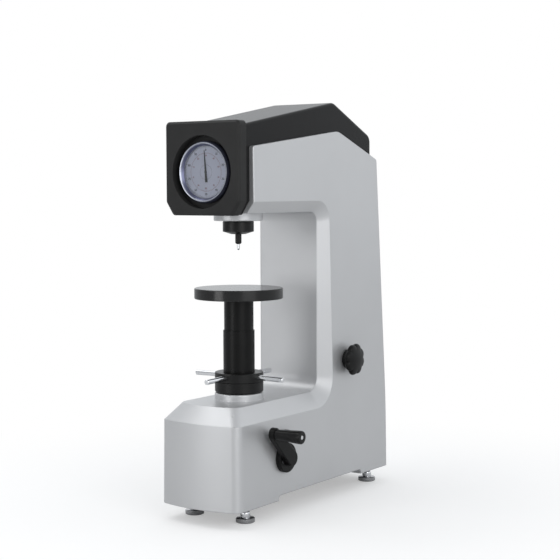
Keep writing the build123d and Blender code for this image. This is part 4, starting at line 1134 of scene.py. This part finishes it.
@dataclass
class Studio:
    """Pale floor, soft lamps, white surroundings and the camera."""

    eye_offset: Vector = field(default_factory=lambda: Vector((1.3595, -1.8497, 0.0)))  # from the load axis
    eye_height: float = 0.5486
    yaw: float = radians(34.57)
    pitch: float = radians(3.82)
    roll: float = radians(-0.20)
    sensor: float = 36.0
    focal_pixels: float = 1361.3  # focal length, for an image this many pixels wide:
    image_pixels: float = 560.0
    clip: tuple[float, float] = (0.05, 100.0)
    floor_size: float = 14.0
    floor_colour: Colour = (0.66, 0.66, 0.66)
    floor_glow: float = 0.36
    surround: tuple[float, float] = (0.50, 1.0)  # light of the surroundings in front and behind
    surround_span: tuple[float, float] = (-0.4, 0.6)  # directions, front to rear, between which it changes
    floor_reach: tuple[float, float] = (0.34, 0.92)  # the floor's shade fades out between these radii
    lamps: tuple[Softbox, ...] = (
        Softbox("right_softbox", 61, 1.2, 3.0, (2.0, 2.0), 2.25),
        Softbox("front_softbox", -16, 0.9, 3.4, (1.3, 1.8), 3.0),
        Softbox("top_softbox", -60, 2.8, 1.4, (1.8, 1.5), 1.9),
    )

    def build(self) -> None:
        """Set up the camera, the floor, the surroundings and the lamps."""
        self.camera()
        self.floor()
        self.world()
        for lamp in self.lamps:
            lamp.build()
        bpy.context.scene.view_settings.view_transform = "Standard"

    def camera(self) -> None:
        """Place the camera."""
        ahead = Vector((-sin(self.yaw) * cos(self.pitch), cos(self.yaw) * cos(self.pitch), -sin(self.pitch)))
        right = Vector((cos(self.yaw), sin(self.yaw), 0))
        up = right.cross(ahead)
        turn = Matrix((right, up, -ahead)).transposed().to_4x4() @ Matrix.Rotation(self.roll, 4, "Z")
        axis = centre_of("test_table")
        eye = Vector((axis.x, axis.y, self.eye_height)) + self.eye_offset
        data = bpy.data.cameras.new("camera")
        data.sensor_width = self.sensor
        data.lens = self.focal_pixels / self.image_pixels * self.sensor
        data.clip_start, data.clip_end = self.clip
        camera = bpy.data.objects.new("camera", data)
        camera.matrix_world = Matrix.Translation(eye) @ turn
        bpy.context.scene.collection.objects.link(camera)
        bpy.context.scene.camera = camera

    def floor(self) -> None:
        """A wide white floor that keeps the object's shadow near it."""
        form = Form()
        bmesh.ops.create_grid(form.bm, x_segments=2, y_segments=2, size=self.floor_size)
        made = Shader("studio_floor")
        made.surface.inputs["Base Color"].default_value = (*self.floor_colour, 1)
        made.fixed(roughness=0.9, specular_ior_level=0.1)
        glow, white = made.node("ShaderNodeEmission"), made.node("ShaderNodeEmission")
        glow.inputs["Strength"].default_value = self.floor_glow
        added = made.node("ShaderNodeAddShader")
        made.link(made.surface.outputs["BSDF"], added.inputs[0])
        made.link(glow.outputs["Emission"], added.inputs[1])
        far = made.node("ShaderNodeVectorMath", operation="LENGTH")
        made.link(made.place(), far.inputs[0])
        fade = made.node("ShaderNodeMapRange", interpolation_type="SMOOTHSTEP")
        fade.inputs["From Min"].default_value, fade.inputs["From Max"].default_value = self.floor_reach
        made.link(far.outputs["Value"], fade.inputs["Value"])
        shade = made.node("ShaderNodeMixShader")
        made.link(fade.outputs["Result"], shade.inputs["Fac"])
        made.link(added.outputs["Shader"], shade.inputs[1])
        made.link(white.outputs["Emission"], shade.inputs[2])
        chosen = made.node("ShaderNodeMixShader")
        made.link(made.node("ShaderNodeLightPath").outputs["Is Camera Ray"], chosen.inputs["Fac"])
        made.link(made.surface.outputs["BSDF"], chosen.inputs[1])
        made.link(shade.outputs["Shader"], chosen.inputs[2])
        made.link(chosen.outputs["Shader"], made.output.inputs["Surface"])
        floor = form.finished("floor", Matrix.Identity(4), made.material)

    def world(self) -> None:
        """White surroundings for the camera; for light and reflections they are dimmer towards the front."""
        world = bpy.data.worlds.new("studio")
        bpy.context.scene.world = world
        world.use_nodes = True
        tree = world.node_tree
        tree.nodes.clear()
        output = tree.nodes.new("ShaderNodeOutputWorld")
        path = tree.nodes.new("ShaderNodeLightPath")
        white = tree.nodes.new("ShaderNodeBackground")
        white.inputs["Color"].default_value = (1, 1, 1, 1)
        soft = tree.nodes.new("ShaderNodeBackground")
        soft.inputs["Color"].default_value = (0.95, 0.975, 1, 1)
        parts = tree.nodes.new("ShaderNodeSeparateXYZ")
        tree.links.new(tree.nodes.new("ShaderNodeTexCoord").outputs["Generated"], parts.inputs["Vector"])
        fade = tree.nodes.new("ShaderNodeMapRange")
        fade.inputs["From Min"].default_value, fade.inputs["From Max"].default_value = self.surround_span
        fade.inputs["To Min"].default_value, fade.inputs["To Max"].default_value = self.surround
        tree.links.new(parts.outputs["Y"], fade.inputs["Value"])
        tree.links.new(fade.outputs["Result"], soft.inputs["Strength"])
        mix = tree.nodes.new("ShaderNodeMixShader")
        tree.links.new(path.outputs["Is Camera Ray"], mix.inputs["Fac"])
        tree.links.new(soft.outputs[0], mix.inputs[1])
        tree.links.new(white.outputs[0], mix.inputs[2])
        tree.links.new(mix.outputs[0], output.inputs["Surface"])


def main() -> None:
    """Build the looks in order."""
    logging.basicConfig(level=logging.INFO, format="%(name)s: %(message)s")
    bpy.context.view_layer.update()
    Studio().build()
    MachineBody().build()
    ScrewSet(
        "rear_cover_screws", Body.FRAME.value, "zinc_screws", Vector((0, 1, 0)),
        SocketScrew(3.8 * MM, 2.0 * MM), Plating("zinc_screws", (0.62, 0.63, 0.64), roughness=0.28),
    ).build()
    ScrewSet(
        "flange_screws", Body.FRAME.value, "black_steel", Vector((1, 0, 0)),
        SocketScrew(3.4 * MM, 1.6 * MM), Plating("black_oxide_screws", (0.10, 0.10, 0.105), roughness=0.35),
    ).build()
    DialGauge().build()
    Spindle().build()
    Elevation().build()
    Controls().build()
    plating = Plating("foot_nickel", (0.50, 0.50, 0.51), roughness=0.22).material()
    chrome = Plating("foot_chrome", (0.80, 0.81, 0.83), roughness=0.12).material()
    for node in sorted(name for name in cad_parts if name.startswith("foot_")):
        LevellingFoot(node).build(plating, chrome)


if __name__ == "__main__":
    main()
